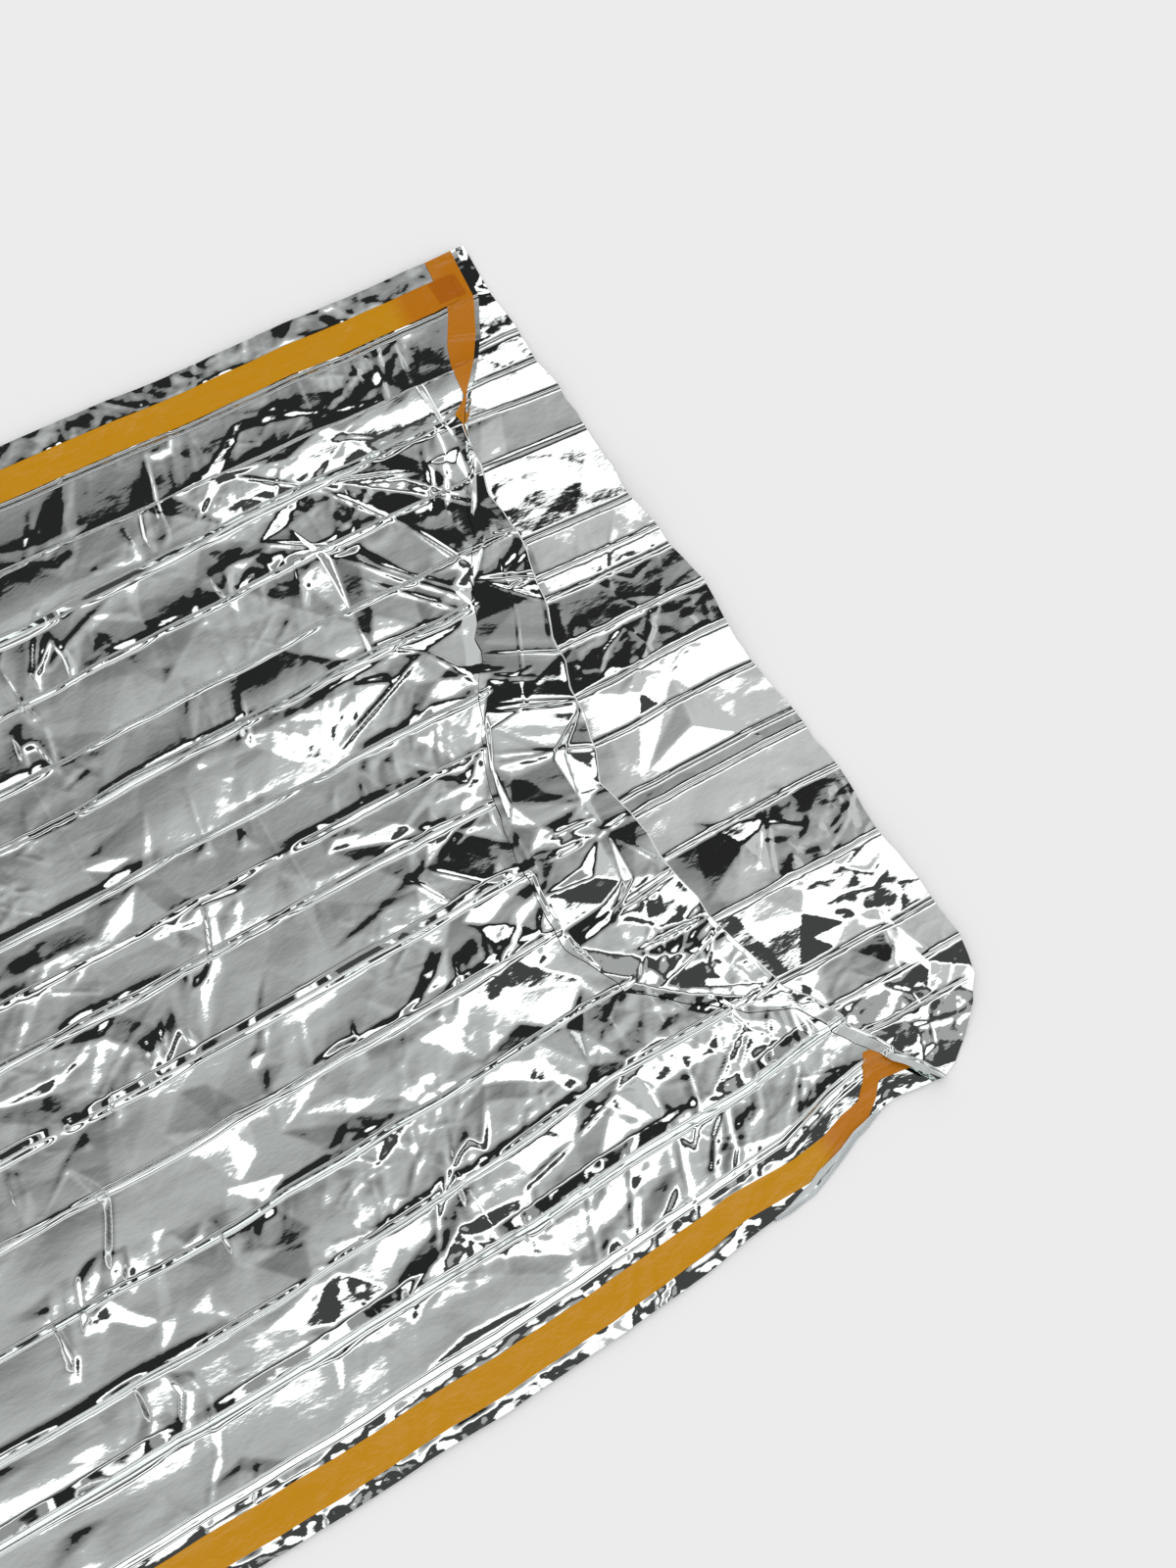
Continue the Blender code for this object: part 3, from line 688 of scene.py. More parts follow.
def edge_distance(u):
    return np.minimum(u - LEFT_EDGE, RIGHT_EDGE - u)


def inside(u, y):
    """0 on the pressed seams and 1 where the panels stand apart, rising in two steps."""
    inward = edge_distance(u) - SEAM_IN
    wander = STEP_WANDER * unit(inward / STEP_REACH)
    inward = inward + wander * facets(np.sign(u), y, *STEP_FIELD)
    rise = FOOT_RISE * (1 + 0.5 * facets(u, *FOOT_LINE))
    return read(SEAM_STEPS, "share", inward) * unit((y - FOOT_Y - FOOT_SEAM) / rise)


def band_lines():
    """Ends of the flat bands between the crests, and the crests themselves."""
    lines = [LEFT_EDGE]
    for crease in FRONT_CREASES:
        lines += [crease.x - crease.left, crease.x, crease.x + crease.right]
    return np.array(lines + [RIGHT_EDGE])


def band_heights(leans, swell, crests=1.0):
    """Height at each of the band lines, for one place along the bag."""
    lines = band_lines()
    heights = np.zeros(lines.size)
    for band, lean in enumerate(leans):
        left, right = 3 * band, 3 * band + 1
        inward = LEAN_MIDDLE + LEAN_PER_METRE * (lines[left] + lines[right]) / 2
        half = math.tan(math.radians(lean + inward)) * (lines[right] - lines[left]) / 2
        heights[left] = half
        heights[right] = -half
    for number, crease in enumerate(FRONT_CREASES):
        crest = 3 * number + 2
        foot = max(heights[crest - 1], heights[crest + 1])
        swollen = 1 + swell * math.sin(2.4 * number + 40 * swell)
        heights[crest] = foot + crests * crease.rise * swollen
    return heights


def bands(u, y):
    """Lengthwise bands and crests of the front panel, over its level."""
    dice = np.random.RandomState(BAND_SEED)
    hidden = [fold.y for fold in CROSS_FOLDS[:HIDDEN_PLACES]]
    places = hidden + list(LEAN_AT)
    profiles = []
    for _ in hidden:
        leans = dice.uniform(-HIDDEN_LEAN, HIDDEN_LEAN, len(BAND_LEANS))
        profiles.append(band_heights(leans, dice.uniform(0.1, 0.3)))
    for name in BAND_LEANS[0]._fields:
        crests = CREST_BY_CUFF if name == "y780" else 1.0
        profiles.append(band_heights(column(BAND_LEANS, name), dice.uniform(0.1, 0.3), crests))
    lines = band_lines()
    total = np.zeros(np.broadcast(u, y).shape)
    wandered = y + BAND_WANDER * facets(u, *BAND_LINE)
    for number, heights in enumerate(profiles):
        total += share_of(number, places, wandered) * np.interp(u, lines, heights)
    for band in range(len(BAND_LEANS)):
        left, right = lines[3 * band], lines[3 * band + 1]
        share = unit((u - left) / (right - left))
        bow = BAND_BOW * facets(band * 3.3, y, BOW_PITCH, BOW_SEED + band)
        total += bow * 4 * share * (1 - share)
    for number, crease in enumerate(FRONT_CREASES):
        uneven = CREST_UNEVEN * facets(number * 7.3, y, CREST_PITCH, CREST_SEED + number)
        crest = ridge(u, crease.x, crease.left, crease.right)
        total += np.maximum(uneven, -1) * crease.rise * crest
        here = facets(number * 5.1, y, SHOULDER_PITCH, SHOULDER_SEED + number)
        shoulder = ridge(u, crease.x, SHOULDER_WIDE, crease.right + SHOULDER_STEEP)
        total += SHOULDER_RISE * unit(4.0 * here - 0.4) * shoulder
    return total


def cross_folds(u, y):
    """Low ridges and furrows across the bag, broken a little at each band."""
    dice = np.random.RandomState(CROSS_SEED)
    total = np.zeros(np.broadcast(u, y).shape)
    crests = column(FRONT_CREASES, "x")
    band = np.searchsorted(crests, u)
    for fold in CROSS_FOLDS:
        shift = dice.uniform(*CROSS_SHIFT, crests.size + 1)[band]
        size = dice.uniform(*CROSS_SIZE, crests.size + 1)[band]
        narrow = dice.uniform(*CROSS_FLANK, crests.size + 1)[band]
        total += fold.rise * size * ridge(y, fold.y + shift, narrow, narrow)
    return total


def front_crumple(u, y, x):
    """Small creases of the front panel."""
    patch = patched(FRONT_PATCHES, x, y)
    crests = column(FRONT_CREASES, "x")
    near = np.min(np.abs(np.asarray(u)[..., None] - crests), axis=-1)
    by_crest = unit(1 - near / CREST_REACH)
    margin = unit((SEAM_IN - MARGIN_SHORT - edge_distance(u)) / MARGIN_FADE)
    strewn = np.clip(1.7 * facets(u, y, *STREWN_FIELD) - 0.5, 0, 0.7)
    fine = FINE_LEAST + FINE_PATCH * patch + FINE_CREST * by_crest + FINE_MARGIN * margin + strewn
    total = small_relief(FRONT_SMALL, unit(fine), u, y)
    for dent in DENTS:
        field = facets(u, y, dent.cell, dent.seed, dent.stretch, dent.turn)
        total += dent.height * np.maximum(field - dent.over, 0)
    feathered = unit(2.4 * facets(u, y, *FEATHER_FIELD) - 0.35) + 0.4 * patch
    stroke = ridge(facets(y, u, *STROKE_FIELD), 0, STROKE_SLOW, STROKE_STEEP)
    total += feathered * (RIPPLE * facets(y, u, *RIPPLE_FIELD) + STROKE * stroke)
    total += ROLL * facets(u, y, *ROLL_FIELD)
    total += CORNER_CRUMPLE * patched(CORNER_PATCHES, x, y) * crumple(u, y, *CORNER_FIELD)
    return total + MARGIN_CRUMPLE * margin * crumple(u, y, *MARGIN_FIELD)


def tape_cover(u):
    """1 under a side tape and 0 away from it."""
    cover = np.zeros(np.shape(u))
    for edge, (near, far) in ((u - LEFT_EDGE, LEFT_TAPE_IN), (RIGHT_EDGE - u, RIGHT_TAPE_IN)):
        cover = np.maximum(cover, unit(np.minimum(edge - near, far - edge) / TAPE_COVER_EDGE + 1))
    return cover


def front_top(u, y):
    """Height of the front panel's outer face where it lies."""
    x = drifted(u, y)
    relief = bands(u, y) + cross_folds(u, y) + net_height(FRONT_NET, x, y)
    relief = relief + pulled(FRONT_PULLS, x, y) + stars(FRONT_STARS, x, y)
    lap = read(CUFF, "lap", mouth_x(u))
    under = unit((y - fold_y(u) + lap + CALM_REACH) / CALM_REACH) * (lap > CALM_LAP)
    calmed = 1 - (1 - CALM) * under
    open_share = inside(u, y)
    small = front_crumple(u, y, x) * (1 - TAPE_CALM * tape_cover(u))
    slope = SMALL_LIFT + MARGIN_SLOPE * unit((RIGHT_EDGE - u) / SEAM_IN)
    slope = slope + LEFT_SLOPE * unit(1 - (u - LEFT_EDGE) / SEAM_IN)
    slope = slope + LEFT_CURL * unit(1 - (u - LEFT_EDGE) / CURL_WIDE)
    small = small * open_share + (1 - open_share) * (SEAM_CRUMPLE * small + slope)
    return SEAM_TOP + open_share * (LEVEL - SEAM_TOP + relief * calmed) + small


def cuff_relief(x, y):
    """Height of the cuff's facets and creases over its plain slope."""
    past_edge = [node._replace(y=node.y + 2 * FOLD_WANDER) for node in CUFF_FOLD]
    large = net_height([*past_edge, *CUFF_NET], x, y) + pulled(CUFF_PULLS, x, y)
    return large + small_relief(CUFF_SMALL, patched(CUFF_PATCHES, x, y), x, y)


def fold_lift(u):
    """How far the fold line stands up with the cuff's facets."""
    x = mouth_x(u)
    return read(CUFF_FOLD, "lift", x) * unit(read(CUFF, "turn", x) * 2 - 1)


def under_cuff(u, y):
    """Height of the front panel's outer face, raised where it comes up to its fold."""
    raised = unit(1 + (y - fold_y(u)) / FOLD_RAISED)
    return front_top(u, y) + fold_lift(u) * raised


def front_at(u, v):
    """Point of the front panel's outer face, v past its fold line along the cloth."""
    x_fold = mouth_x(u)
    fold = fold_y(u)
    lift = fold_lift(u)
    turn = read(CUFF, "turn", x_fold) * math.pi
    lean = read(CUFF, "lean", x_fold)
    level = np.sqrt(1 - lean**2)
    lie_y = fold + np.minimum(v, 0)
    bend = np.clip(v / TURN_RADIUS, 0, turn)
    flat = np.maximum(v - TURN_RADIUS * turn, 0)
    most = np.maximum(past_fold(u) - TURN_RADIUS * turn, 1e-4)
    forward = TURN_RADIUS * np.sin(bend) + flat * np.maximum(np.cos(turn), 0)
    back = flat * np.maximum(-np.cos(turn), 0)
    x = drifted(u, lie_y) + back * lean
    y = lie_y + forward - back * level
    squash = 1 - turn / math.pi * (FOLD_SQUASH + SQUASH_UNEVEN * facets(u, *SQUASH_LINE))
    turned_z = squash * TURN_RADIUS * (1 - np.cos(bend)) + flat * np.maximum(np.sin(turn), 0)
    z = under_cuff(u, lie_y) + turned_z
    full = unit(turn / math.pi * 2 - 1)
    corner = unit((x_fold - CORNER_FROM) / CORNER_REACH)
    apart = inside(u, fold - most * level)
    rest = SEAM_TOP + apart * (LEVEL - SEAM_TOP) + CUFF_REST + CORNER_REST * corner
    start = under_cuff(u, fold) + 2 * TURN_RADIUS * squash - lift
    eased = unit(flat / FOLD_EASE)
    laid = start + unit(flat / most) * (rest - start)
    laid = laid + cuff_relief(x, y) * eased + lift * (1 - eased)
    flap = CORNER_HIGH + CORNER_TILT * (x - CORNER_X) + CORNER_UNEVEN * crumple(x, y, *FLAP_FIELD)
    laid = laid + corner * eased * (flap - laid)
    beneath = under_cuff(u + back * lean, y) + CUFF_CLEAR
    z = z + full * (np.maximum(laid, beneath) - z) * (flat > 0)
    return np.stack([x, y, z], axis=-1)


def evenly(stops, step):
    """Places from stop to stop, no more than a step apart, with every stop kept."""
    places = [stops[0]]
    for start, end in zip(stops[:-1], stops[1:]):
        count = max(1, math.ceil((end - start) / step - 1e-6))
        places += [start + (end - start) * k / count for k in range(1, count + 1)]
    return np.array(places)


def front_columns(start, end):
    stops = sorted({start, end} | {float(line) for line in band_lines() if start < line < end})
    return evenly(stops, COLUMN_STEP)


def body_rows(fold, foot):
    """Rows from the foot to where the fine rows start, and the number of fine rows."""
    rows = [y - fold for y in evenly([foot, FOOT_Y + FOOT_SEAM, FINE_FROM], FOOT_ROW_STEP)]
    return rows, math.ceil((float(np.max(fold)) - FINE_FROM) / ROW_STEP)


def front_rows(u):
    """The v of each row of the front panel, one line of values for each column."""
    fold = fold_y(u)
    rows, count = body_rows(fold, FOOT_Y)
    rows += [(FINE_FROM - fold) * (1 - step / count) for step in range(1, count)]
    turn = read(CUFF, "turn", mouth_x(u)) * math.pi * TURN_RADIUS
    turn = np.maximum(turn, 0.4 * EDGE_MARGIN)
    past = past_fold(u) - turn
    turn_rows = math.ceil(math.pi * TURN_RADIUS / FOLD_STEP)
    lap_rows = math.ceil(float(np.max(past)) / ROW_STEP)
    rows += [turn * step / turn_rows for step in range(turn_rows)]
    rows += [turn + past * step / lap_rows for step in range(lap_rows + 1)]
    return np.array(rows)


def front_points(start, end):
    """Points of the front panel between two lengthwise lines, and their places on the cloth."""
    u = front_columns(start, end)
    v = front_rows(u)
    across = np.broadcast_to(u, v.shape)
    return front_at(across, v), np.stack([across, v + 1.0], axis=-1)


def back_points():
    """Points of the back panel's inner face, and their places on the cloth."""
    u = evenly(sorted(float(crease.u) for crease in BACK_CREASES), COLUMN_STEP)
    mouth = read(BACK_CREASES, "y", u)
    mouth = mouth + MOUTH_UNEVEN * facets(u, *MOUTH_LINE) * (np.abs(u) < UNEVEN_TO)
    start = fold_y(u) - BACK_SETTLE
    body = evenly(BACK_BODY, BACK_BODY_STEP)
    count = math.ceil(float(np.max(mouth - start)) / ROW_STEP)
    y = [np.full(u.size, place) for place in body]
    y += [body[-1] + (start - body[-1]) * k / HIDDEN_ROWS for k in range(1, HIDDEN_ROWS)]
    y = np.array(y + [start + (mouth - start) * k / count for k in range(count + 1)])
    across = np.broadcast_to(u, y.shape)
    share = unit((y - start) / (mouth - start))
    slide = read(BACK_CREASES, "x", u) - drifted(u, mouth)
    x = drifted(across, y) + slide * share
    heights = np.zeros(y.shape)
    for number, name in enumerate(("near", "half", "far")):
        heights += read(BACK_CREASES, name, u) * share_of(number, BACK_PLACES, share)
    away = np.min(np.abs(u[:, None] - column(BACK_CREASES, "u")), axis=-1)
    crest = BACK_CREST * unit(1 - away / BACK_CREST_WIDE) * (np.abs(u) < BACK_CREST_TO)
    small = SMALL_LIFT + small_relief(BACK_SMALL, patched(BACK_PATCHES, x, y), x, y)
    feathered = unit(1.5 * facets(u, y, *BACK_FEATHER_FIELD))
    small += BACK_RIPPLE * feathered * facets(x, y, *BACK_RIPPLE_FIELD)
    rise = unit(share / BACK_PLACES[0])
    z = BACK_FACE + rise * (heights + crest + stars(BACK_STARS, x, y) + small)
    points = np.stack([x, y, np.maximum(z, BACK_FACE)], axis=-1)
    return points, np.stack([across, y], axis=-1)


def tape_points(side, inward, edges, end_v, lift):
    """Points of a side tape's upper face, which follows the seam and crosses the mouth tape."""
    share = np.linspace(0, 1, math.ceil(TAPE_WIDTH / COLUMN_STEP) + 1)
    if inward > 0:
        share = share[::-1]
    fold = fold_y(side + inward * (edges[0].inner + share * (edges[0].outer - edges[0].inner)))
    rows, count = body_rows(fold, FOOT_Y + TAPE_FOOT)
    for step in range(1, count + 1):
        rows.append((FINE_FROM - fold) * (1 - step / count) + end_v * step / count)
    y = fold + np.array(rows)
    inner = read(edges, "inner", y)
    across = side + inward * (inner + share * (read(edges, "outer", y) - inner))
    v = np.minimum(y - fold_y(across), end_v)
    points = front_at(across, v)
    crossing = unit((v - end_v + TAPE_CROSSING) / CROSSING_RISE)
    points[..., 2] += TAPE_LIFT + lift * crossing
    return points, np.stack([across, v + 1.0], axis=-1)


def pale_strip_points():
    """Points of the smooth pale strip outside the right side tape, its outer edge last."""
    y = evenly([PALE_STRIP[0].y, PALE_STRIP[-1].y], ROW_STEP)[:, None]
    inner = read(PALE_STRIP, "inner", y)
    share = np.linspace(0, 1, PALE_COLUMNS)
    x = drifted(RIGHT_EDGE, y) + inner + share * (read(PALE_STRIP, "outer", y) - inner)
    z = front_top(np.full(y.shape, RIGHT_EDGE), y) * (1 - share) + PALE_CLEAR
    z = z + PALE_LIFT * np.sin(math.pi * (PALE_ARCH[0] + PALE_ARCH[1] * share))
    points = np.stack([x, np.broadcast_to(y, x.shape), z], axis=-1)
    return points, points[..., :2].copy()


def mouth_tape_points():
    """Points of the mouth tape's outer face, on the front panel's outer face."""
    u = front_columns(LEFT_EDGE, RIGHT_EDGE - RIGHT_TAPE_IN[0])
    x = mouth_x(u)
    far = past_fold(u) - 0.5 * EDGE_MARGIN - HIDDEN_TAPE_IN * read(CUFF, "turn", x)
    width = TAPE_WIDTH * read(TAPE_GATHER, "share", x)
    count = math.ceil(TAPE_WIDTH / COLUMN_STEP)
    v = np.array([far - width * (1 - step / count) for step in range(count + 1)])
    across = np.broadcast_to(u, v.shape)
    points = front_at(across, v)
    points[..., 2] += pulled(TAPE_PULLS, points[..., 0], points[..., 1])
    return points + TAPE_LIFT * normals_of(points), np.stack([across, v + 1.0], axis=-1)


def normals_of(points):
    """Unit normals of a grid of points, from its neighbours along both ways."""
    normal = np.cross(np.gradient(points, axis=1), np.gradient(points, axis=0))
    return normal / np.linalg.norm(normal, axis=-1, keepdims=True)


# Building the scene
def new_object(name, data):
    obj = bpy.data.objects.new(name, data)
    bpy.context.scene.collection.objects.link(obj)
    return obj


def sheet_object(name, points, cloth, material):
    """A single layer of cloth from a grid of points, facing up, with its flat place as the map."""
    rows, columns = points.shape[:2]
    corner = (np.arange(rows - 1)[:, None] * columns + np.arange(columns - 1)).ravel()
    quads = np.stack([corner, corner + 1, corner + columns + 1, corner + columns], axis=-1)
    mesh = bpy.data.meshes.new(name)
    mesh.from_pydata(points.reshape(-1, 3), [], quads.tolist(), shade_flat=False)
    mesh.validate()
    places = cloth.reshape(-1, 2)[quads.ravel()]
    flat_map = mesh.uv_layers.new(name="cloth")
    flat_map.data.foreach_set("uv", places.astype(np.float32).ravel())
    mesh.materials.append(material)
    return new_object(name, mesh)


def set_inputs(tree, node, inputs):
    """Gives each input its value, or links it where the value is a socket."""
    for name, value in inputs.items():
        if isinstance(value, bpy.types.NodeSocket):
            tree.links.new(value, node.inputs[name])
        else:
            node.inputs[name].default_value = value


def add_node(tree, kind, inputs=None, **settings):
    """A node with its settings and its inputs, as its outputs."""
    node = tree.nodes.new(kind)
    for name, value in settings.items():
        setattr(node, name, value)
    set_inputs(tree, node, inputs or {})
    return node.outputs


def maths(tree, operation, first, second, clamp=False):
    inputs = {0: first, 1: second}
    return add_node(tree, "ShaderNodeMath", inputs, operation=operation, use_clamp=clamp)[0]


def map_range(tree, value, ends, **settings):
    """The value, moved from one range to another: from, to, and the result at each."""
    inputs = {"Value": value, **dict(zip(("From Min", "From Max", "To Min", "To Max"), ends))}
    return add_node(tree, "ShaderNodeMapRange", inputs, **settings)["Result"]


def mix(tree, share, first, second, **settings):
    inputs = {"Factor": share, "A": first, "B": second}
    return add_node(tree, "ShaderNodeMix", inputs, **settings)["Result"]


def new_group(name, kind, inputs, outputs):
    """A node group, what comes in, its output node and its sockets' identifiers.

    Each socket is given by its kind, or by a number for a Float socket with that default.
    """
    group = bpy.data.node_groups.new(name, kind)
    names = {}
    for way, sockets in (("INPUT", inputs), ("OUTPUT", outputs)):
        for label, given in sockets.items():
            socket_kind = "NodeSocket" + (given if isinstance(given, str) else "Float")
            socket = group.interface.new_socket(label, in_out=way, socket_type=socket_kind)
            names[label] = socket.identifier
            if not isinstance(given, str):
                socket.default_value = given
    inner = group.nodes.new("NodeGroupInput").outputs
    return group, inner, group.nodes.new("NodeGroupOutput"), names


def make_crinkle_group():
    """Fine creases of thin foil: a height for a Bump node and a grey that varies the gloss."""
    inputs = {"Cloth": "Vector", "Crease size": 160.0, "Grain size": 420.0}
    outputs = {"Height": "Float", "Gloss": "Float"}
    group, inner, result, _ = new_group("Foil crinkle", "ShaderNodeTree", inputs, outputs)
    stretch = {"Vector": inner["Cloth"], "Scale": (1.0, 0.45, 1.0)}
    stretched = add_node(group, "ShaderNodeMapping", stretch)[0]
    cells = {"Vector": stretched, "Scale": inner["Crease size"]}
    cells = add_node(
        group, "ShaderNodeTexVoronoi", cells, feature="DISTANCE_TO_EDGE", voronoi_dimensions="2D"
    )
    grain = {"Vector": stretched, "Scale": inner["Grain size"], "Detail": 1.0}
    grain = add_node(group, "ShaderNodeTexNoise", grain, noise_dimensions="2D")
    wide = {"Vector": inner["Cloth"], "Scale": 18.0}
    wide = add_node(group, "ShaderNodeTexNoise", wide, noise_dimensions="2D")
    crease = maths(group, "MULTIPLY", cells["Distance"], 0.6)
    body = maths(group, "MULTIPLY", grain["Fac"], 0.5)
    height = maths(group, "ADD", crease, body)
    set_inputs(group, result, {"Height": height, "Gloss": wide["Fac"]})
    return group


def make_patch_group():
    """One soft patch over what is behind it, seen by direction or by place."""
    inputs = dict.fromkeys(("Behind", "Across", "Ahead", *PATCH_INPUTS), 0.0)
    group, inner, result, _ = new_group("Soft patch", "ShaderNodeTree", inputs, {"Light": "Float"})
    mask = None
    for place, low, high in (("Across", "Left", "Right"), ("Ahead", "Near", "Far")):
        for first, second in ((inner[place], inner[low]), (inner[high], inner[place])):
            inwards = maths(group, "SUBTRACT", first, second)
            edge = maths(group, "DIVIDE", inwards, inner["Rim"])
            edge = maths(group, "ADD", edge, 0.5, clamp=True)
            mask = edge if mask is None else maths(group, "MULTIPLY", mask, edge)
    change = maths(group, "SUBTRACT", inner["Bright"], inner["Behind"])
    change = maths(group, "MULTIPLY", change, mask)
    set_inputs(group, result, {"Light": maths(group, "ADD", inner["Behind"], change)})
    return group


def add_patch(tree, group, patch, across, ahead, behind=0.0):
    inputs = dict(zip(PATCH_INPUTS, patch))
    inputs.update({"Behind": behind, "Across": across, "Ahead": ahead})
    return add_node(tree, "ShaderNodeGroup", inputs, node_tree=group)["Light"]


def make_pinking_group():
    """Teeth of a pinked cut: a flat triangle at every pitch of a line, out to its right."""
    inputs = {"Line": "Geometry", "Pitch": "Float", "Tooth": "Float", "Finish": "Material"}
    outputs = {"Teeth": "Geometry"}
    group, inner, result, names = new_group("Pinked cut", "GeometryNodeTree", inputs, outputs)

    def step(kind, inputs=None, **settings):
        return add_node(group, kind, inputs, **settings)[0]

    line = step("GeometryNodeMeshToCurve", {"Mesh": inner["Line"]})
    spaced = {"Curve": line, "Length": inner["Pitch"]}
    spaced = step("GeometryNodeResampleCurve", spaced, mode="LENGTH")
    tooth = {"Radius": inner["Tooth"], "Vertices": 3}
    tooth = step("GeometryNodeMeshCircle", tooth, fill_type="NGON")
    tooth = step("GeometryNodeTransform", {"Geometry": tooth, "Rotation": (0, 0, -math.pi / 2)})
    ahead = {"Vector": step("GeometryNodeInputTangent")}
    ahead = step("FunctionNodeAlignRotationToVector", ahead, axis="X", pivot_axis="Z")
    row = {"Points": spaced, "Instance": tooth, "Rotation": ahead}
    row = step("GeometryNodeInstanceOnPoints", row)
    row = step("GeometryNodeRealizeInstances", {"Geometry": row})
    row = step("GeometryNodeSetMaterial", {"Geometry": row, "Material": inner["Finish"]})
    set_inputs(group, result, {"Teeth": row})
    return group, names


def pinked_teeth(name, line_points, material):
    """The row of teeth along a line of points, as a plain mesh."""
    line = bpy.data.meshes.new(name + "_line")
    links = [(k, k + 1) for k in range(len(line_points) - 1)]
    line.from_pydata([tuple(point) for point in line_points], links, [])
    carrier = new_object(name + "_line", line)
    group, names = make_pinking_group()
    teeth = carrier.modifiers.new("pinked_cut", "NODES")
    teeth.node_group = group
    teeth[names["Pitch"]] = TOOTH_PITCH
    teeth[names["Tooth"]] = TOOTH_SIZE
    teeth[names["Finish"]] = material
    cut = carrier.evaluated_get(bpy.context.evaluated_depsgraph_get())
    mesh = bpy.data.meshes.new_from_object(cut)
    mesh.name = name
    carrier.modifiers.remove(teeth)
    bpy.data.objects.remove(carrier)
    return new_object(name, mesh)


def new_material(name, inputs):
    """A material with its Principled shader's own values set, as material, tree and shader."""
    material = bpy.data.materials.new(name)
    material.use_nodes = True
    tree = material.node_tree
    shader = tree.nodes["Principled BSDF"]
    set_inputs(tree, shader, inputs)
    return material, tree, shader


def add_bump(tree, shader, height, depth):
    bump = add_node(tree, "ShaderNodeBump", {"Height": height, "Distance": depth})
    set_inputs(tree, shader, {"Normal": bump["Normal"]})


def make_foil(name, crinkle, colour, roughness, depth):
    """Bare metallised foil: a mirror with fine creases, a little duller in places."""
    material, tree, shader = new_material(name, {"Base Color": colour, "Metallic": 1.0})
    cloth = add_node(tree, "ShaderNodeUVMap", uv_map="cloth")["UV"]
    fine = add_node(tree, "ShaderNodeGroup", {"Cloth": cloth}, node_tree=crinkle)
    dull = map_range(tree, fine["Gloss"], (0.0, 1.0, roughness * 0.5, roughness * 1.5))
    set_inputs(tree, shader, {"Roughness": dull})
    add_bump(tree, shader, fine["Height"], depth)
    return material


def make_tape(name, crinkle, patch):
    """Glossy amber tape, deeper in colour towards the mouth, with faint wrinkles across it."""
    gloss = {"Roughness": TAPE_ROUGHNESS, "Specular IOR Level": TAPE_GLOSS}
    material, tree, shader = new_material(name, gloss)
    place = add_node(tree, "ShaderNodeTexCoord")["Object"]
    split = add_node(tree, "ShaderNodeSeparateXYZ", {0: place})
    slanted = maths(tree, "ADD", split["Y"], maths(tree, "MULTIPLY", split["X"], AMBER_SLANT))
    near_mouth = map_range(tree, slanted, AMBER_CHANGE)
    double = add_patch(tree, patch, OVERLAP, split["X"], split["Y"])
    colour = mix(tree, near_mouth, AMBER, AMBER_AT_MOUTH, data_type="RGBA")
    colour = mix(tree, double, colour, AMBER_DOUBLE, data_type="RGBA")
    set_inputs(tree, shader, {"Base Color": colour})
    fine = {"Cloth": place, "Crease size": TAPE_CREASES}
    fine = add_node(tree, "ShaderNodeGroup", fine, node_tree=crinkle)
    add_bump(tree, shader, fine["Height"], TAPE_DEPTH)
    return material


def band_light(tree, behind, direction, bands):
    """Light of the bands along one direction, over what is behind them."""
    ramp = tree.nodes.new("ShaderNodeValToRGB")
    set_inputs(tree, ramp, {"Fac": map_range(tree, direction, (-1.0, 1.0, 0.0, 1.0))})
    stops = []
    for before, after in zip(bands[:-1], bands[1:]):
        for band, other, side in ((before, after, -0.5), (after, before, 0.5)):
            tone = (other if band.bright is None else band).bright / BRIGHTEST
            stops.append((after.start + side * after.rim, tone, float(band.bright is not None)))
    elements = ramp.color_ramp.elements
    for number, (place, tone, cover) in enumerate(stops):
        position = (place + 1) / 2
        stop = elements[number] if number < 2 else elements.new(position)
        stop.position = position
        stop.color = (tone, tone, tone, cover)
    tone = maths(tree, "MULTIPLY", ramp.outputs["Color"], BRIGHTEST)
    return mix(tree, ramp.outputs["Alpha"], behind, tone)


def make_studio(patch):
    """Even pale light for the floor and the view, and bands of light in what the foil mirrors."""
    world = bpy.data.worlds.new("studio")
    bpy.context.scene.world = world
    world.use_nodes = True
    tree = world.node_tree
    mirrored = tree.nodes["Background"]
    place = add_node(tree, "ShaderNodeTexCoord")["Generated"]
    way = add_node(tree, "ShaderNodeSeparateXYZ", {0: place})
    across = map_range(tree, way["X"], GREY_ACROSS, interpolation_type="SMOOTHSTEP")
    ahead = map_range(tree, way["Y"], GREY_AHEAD, interpolation_type="SMOOTHSTEP")
    grey = maths(tree, "ADD", across, ahead)
    light = add_patch(tree, patch, LOW_CARD, way["X"], way["Y"], grey)
    for direction, bands_of_light in (("X", ACROSS_BANDS), ("Y", AHEAD_BANDS), ("Z", UP_BANDS)):
        light = band_light(tree, light, way[direction], bands_of_light)
    set_inputs(tree, mirrored, {"Color": light})
    plain = add_node(tree, "ShaderNodeBackground", {"Color": (PALE, PALE, PALE, 1.0)})[0]
    glossy = add_node(tree, "ShaderNodeLightPath")["Is Glossy Ray"]
    seen = {0: glossy, 1: plain, 2: mirrored.outputs[0]}
    seen = add_node(tree, "ShaderNodeMixShader", seen)[0]
    set_inputs(tree, tree.nodes["World Output"], {"Surface": seen})


def make_floor():
    near, far = -FLOOR_HALF, FLOOR_HALF
    mesh = bpy.data.meshes.new("floor")
    corners = [(near, near, 0), (far, near, 0), (far, far, 0), (near, far, 0)]
    mesh.from_pydata(corners, [], [(0, 1, 2, 3)])
    matt = {"Base Color": FLOOR_COLOUR, "Roughness": FLOOR_ROUGHNESS, "Specular IOR Level": 0.0}
    mesh.materials.append(new_material("pale_floor", matt)[0])
    floor = new_object("floor", mesh)


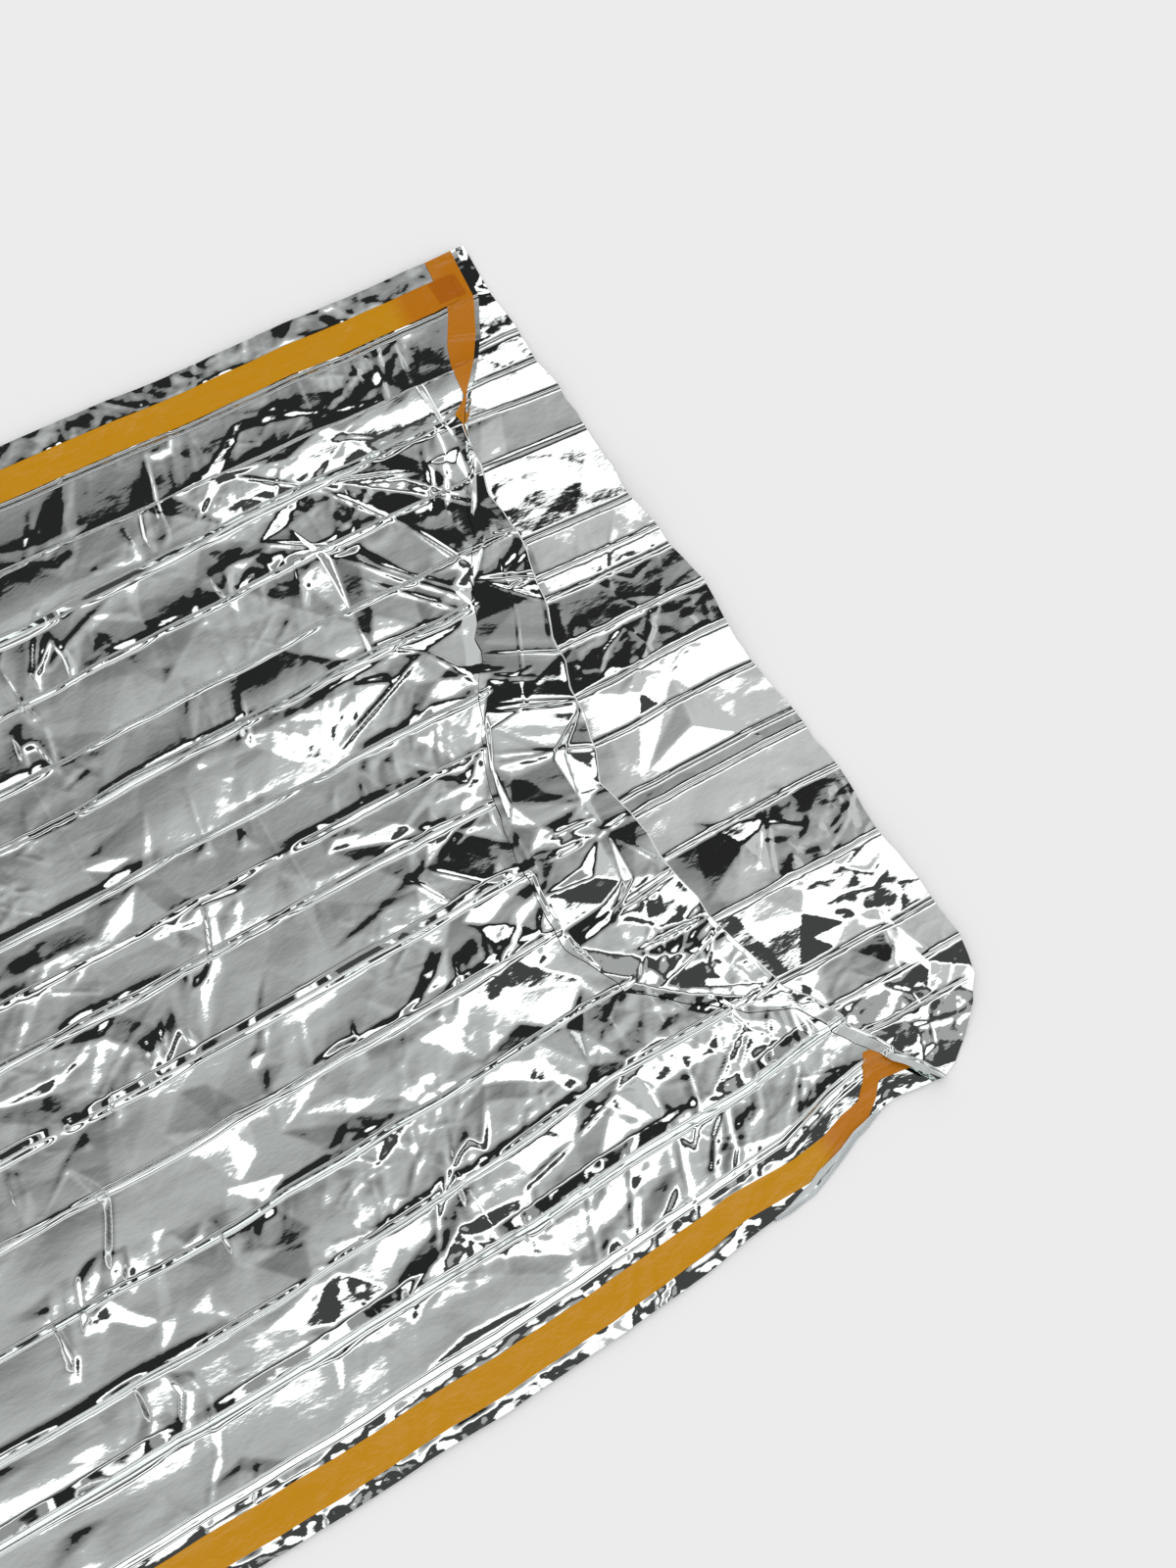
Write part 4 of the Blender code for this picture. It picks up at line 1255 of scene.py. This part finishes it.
def make_camera():
    data = bpy.data.cameras.new("camera")
    data.lens = CAMERA_LENS
    camera = new_object("camera", data)
    place = Matrix.Translation(CAMERA_AT)
    for angle, axis in ((CAMERA_AZIMUTH, "Z"), (90 - CAMERA_ELEVATION, "X"), (CAMERA_ROLL, "Z")):
        place = place @ Matrix.Rotation(math.radians(angle), 4, axis)
    camera.matrix_world = place
    bpy.context.scene.camera = camera


patch_group = make_patch_group()
make_studio(patch_group)
make_floor()
make_camera()
bpy.context.scene.view_settings.view_transform = "Standard"

crinkle_group = make_crinkle_group()
foil_outer = make_foil("foil_outer", crinkle_group, FOIL_OUTER, FOIL_ROUGHNESS, FOIL_DEPTH)
foil_inner = make_foil("foil_inner", crinkle_group, FOIL_INNER, FOIL_ROUGHNESS, FOIL_DEPTH)
amber = make_tape("amber_tape", crinkle_group, patch_group)

back_sheet = sheet_object("back_sheet", *back_points(), foil_inner)
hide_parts("back_panel")

front_sheets = []
for number, (start, end) in enumerate(zip(PARTS_AT[:-1], PARTS_AT[1:])):
    part = sheet_object(f"front_sheet_{number + 1}", *front_points(start, end), foil_outer)
    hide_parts("front_panel")
    front_sheets.append(part)

tapes = []
for name, grid in (
    ("side_tape_left", tape_points(LEFT_EDGE, 1, LEFT_TAPE, LEFT_TAPE_END, TAPE_OVER)),
    ("side_tape_right", tape_points(RIGHT_EDGE, -1, RIGHT_TAPE, RIGHT_TAPE_END, 0.0)),
    ("mouth_tape", mouth_tape_points()),
):
    tape = sheet_object(name + "_strip", *grid, amber)
    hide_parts(name)
    tapes.append(tape)

pale_edge = make_foil("pale_edge", crinkle_group, PALE_EDGE, PALE_ROUGHNESS, PALE_DEPTH)
strip_points, strip_cloth = pale_strip_points()
pale_pieces = [
    sheet_object("pale_strip", strip_points, strip_cloth, pale_edge),
    pinked_teeth("pinked_teeth", strip_points[:, -1], pale_edge),
]
for piece in pale_pieces:
    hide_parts("front_panel")

for piece in [back_sheet, *front_sheets, *tapes, *pale_pieces]:
    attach(piece, "root")
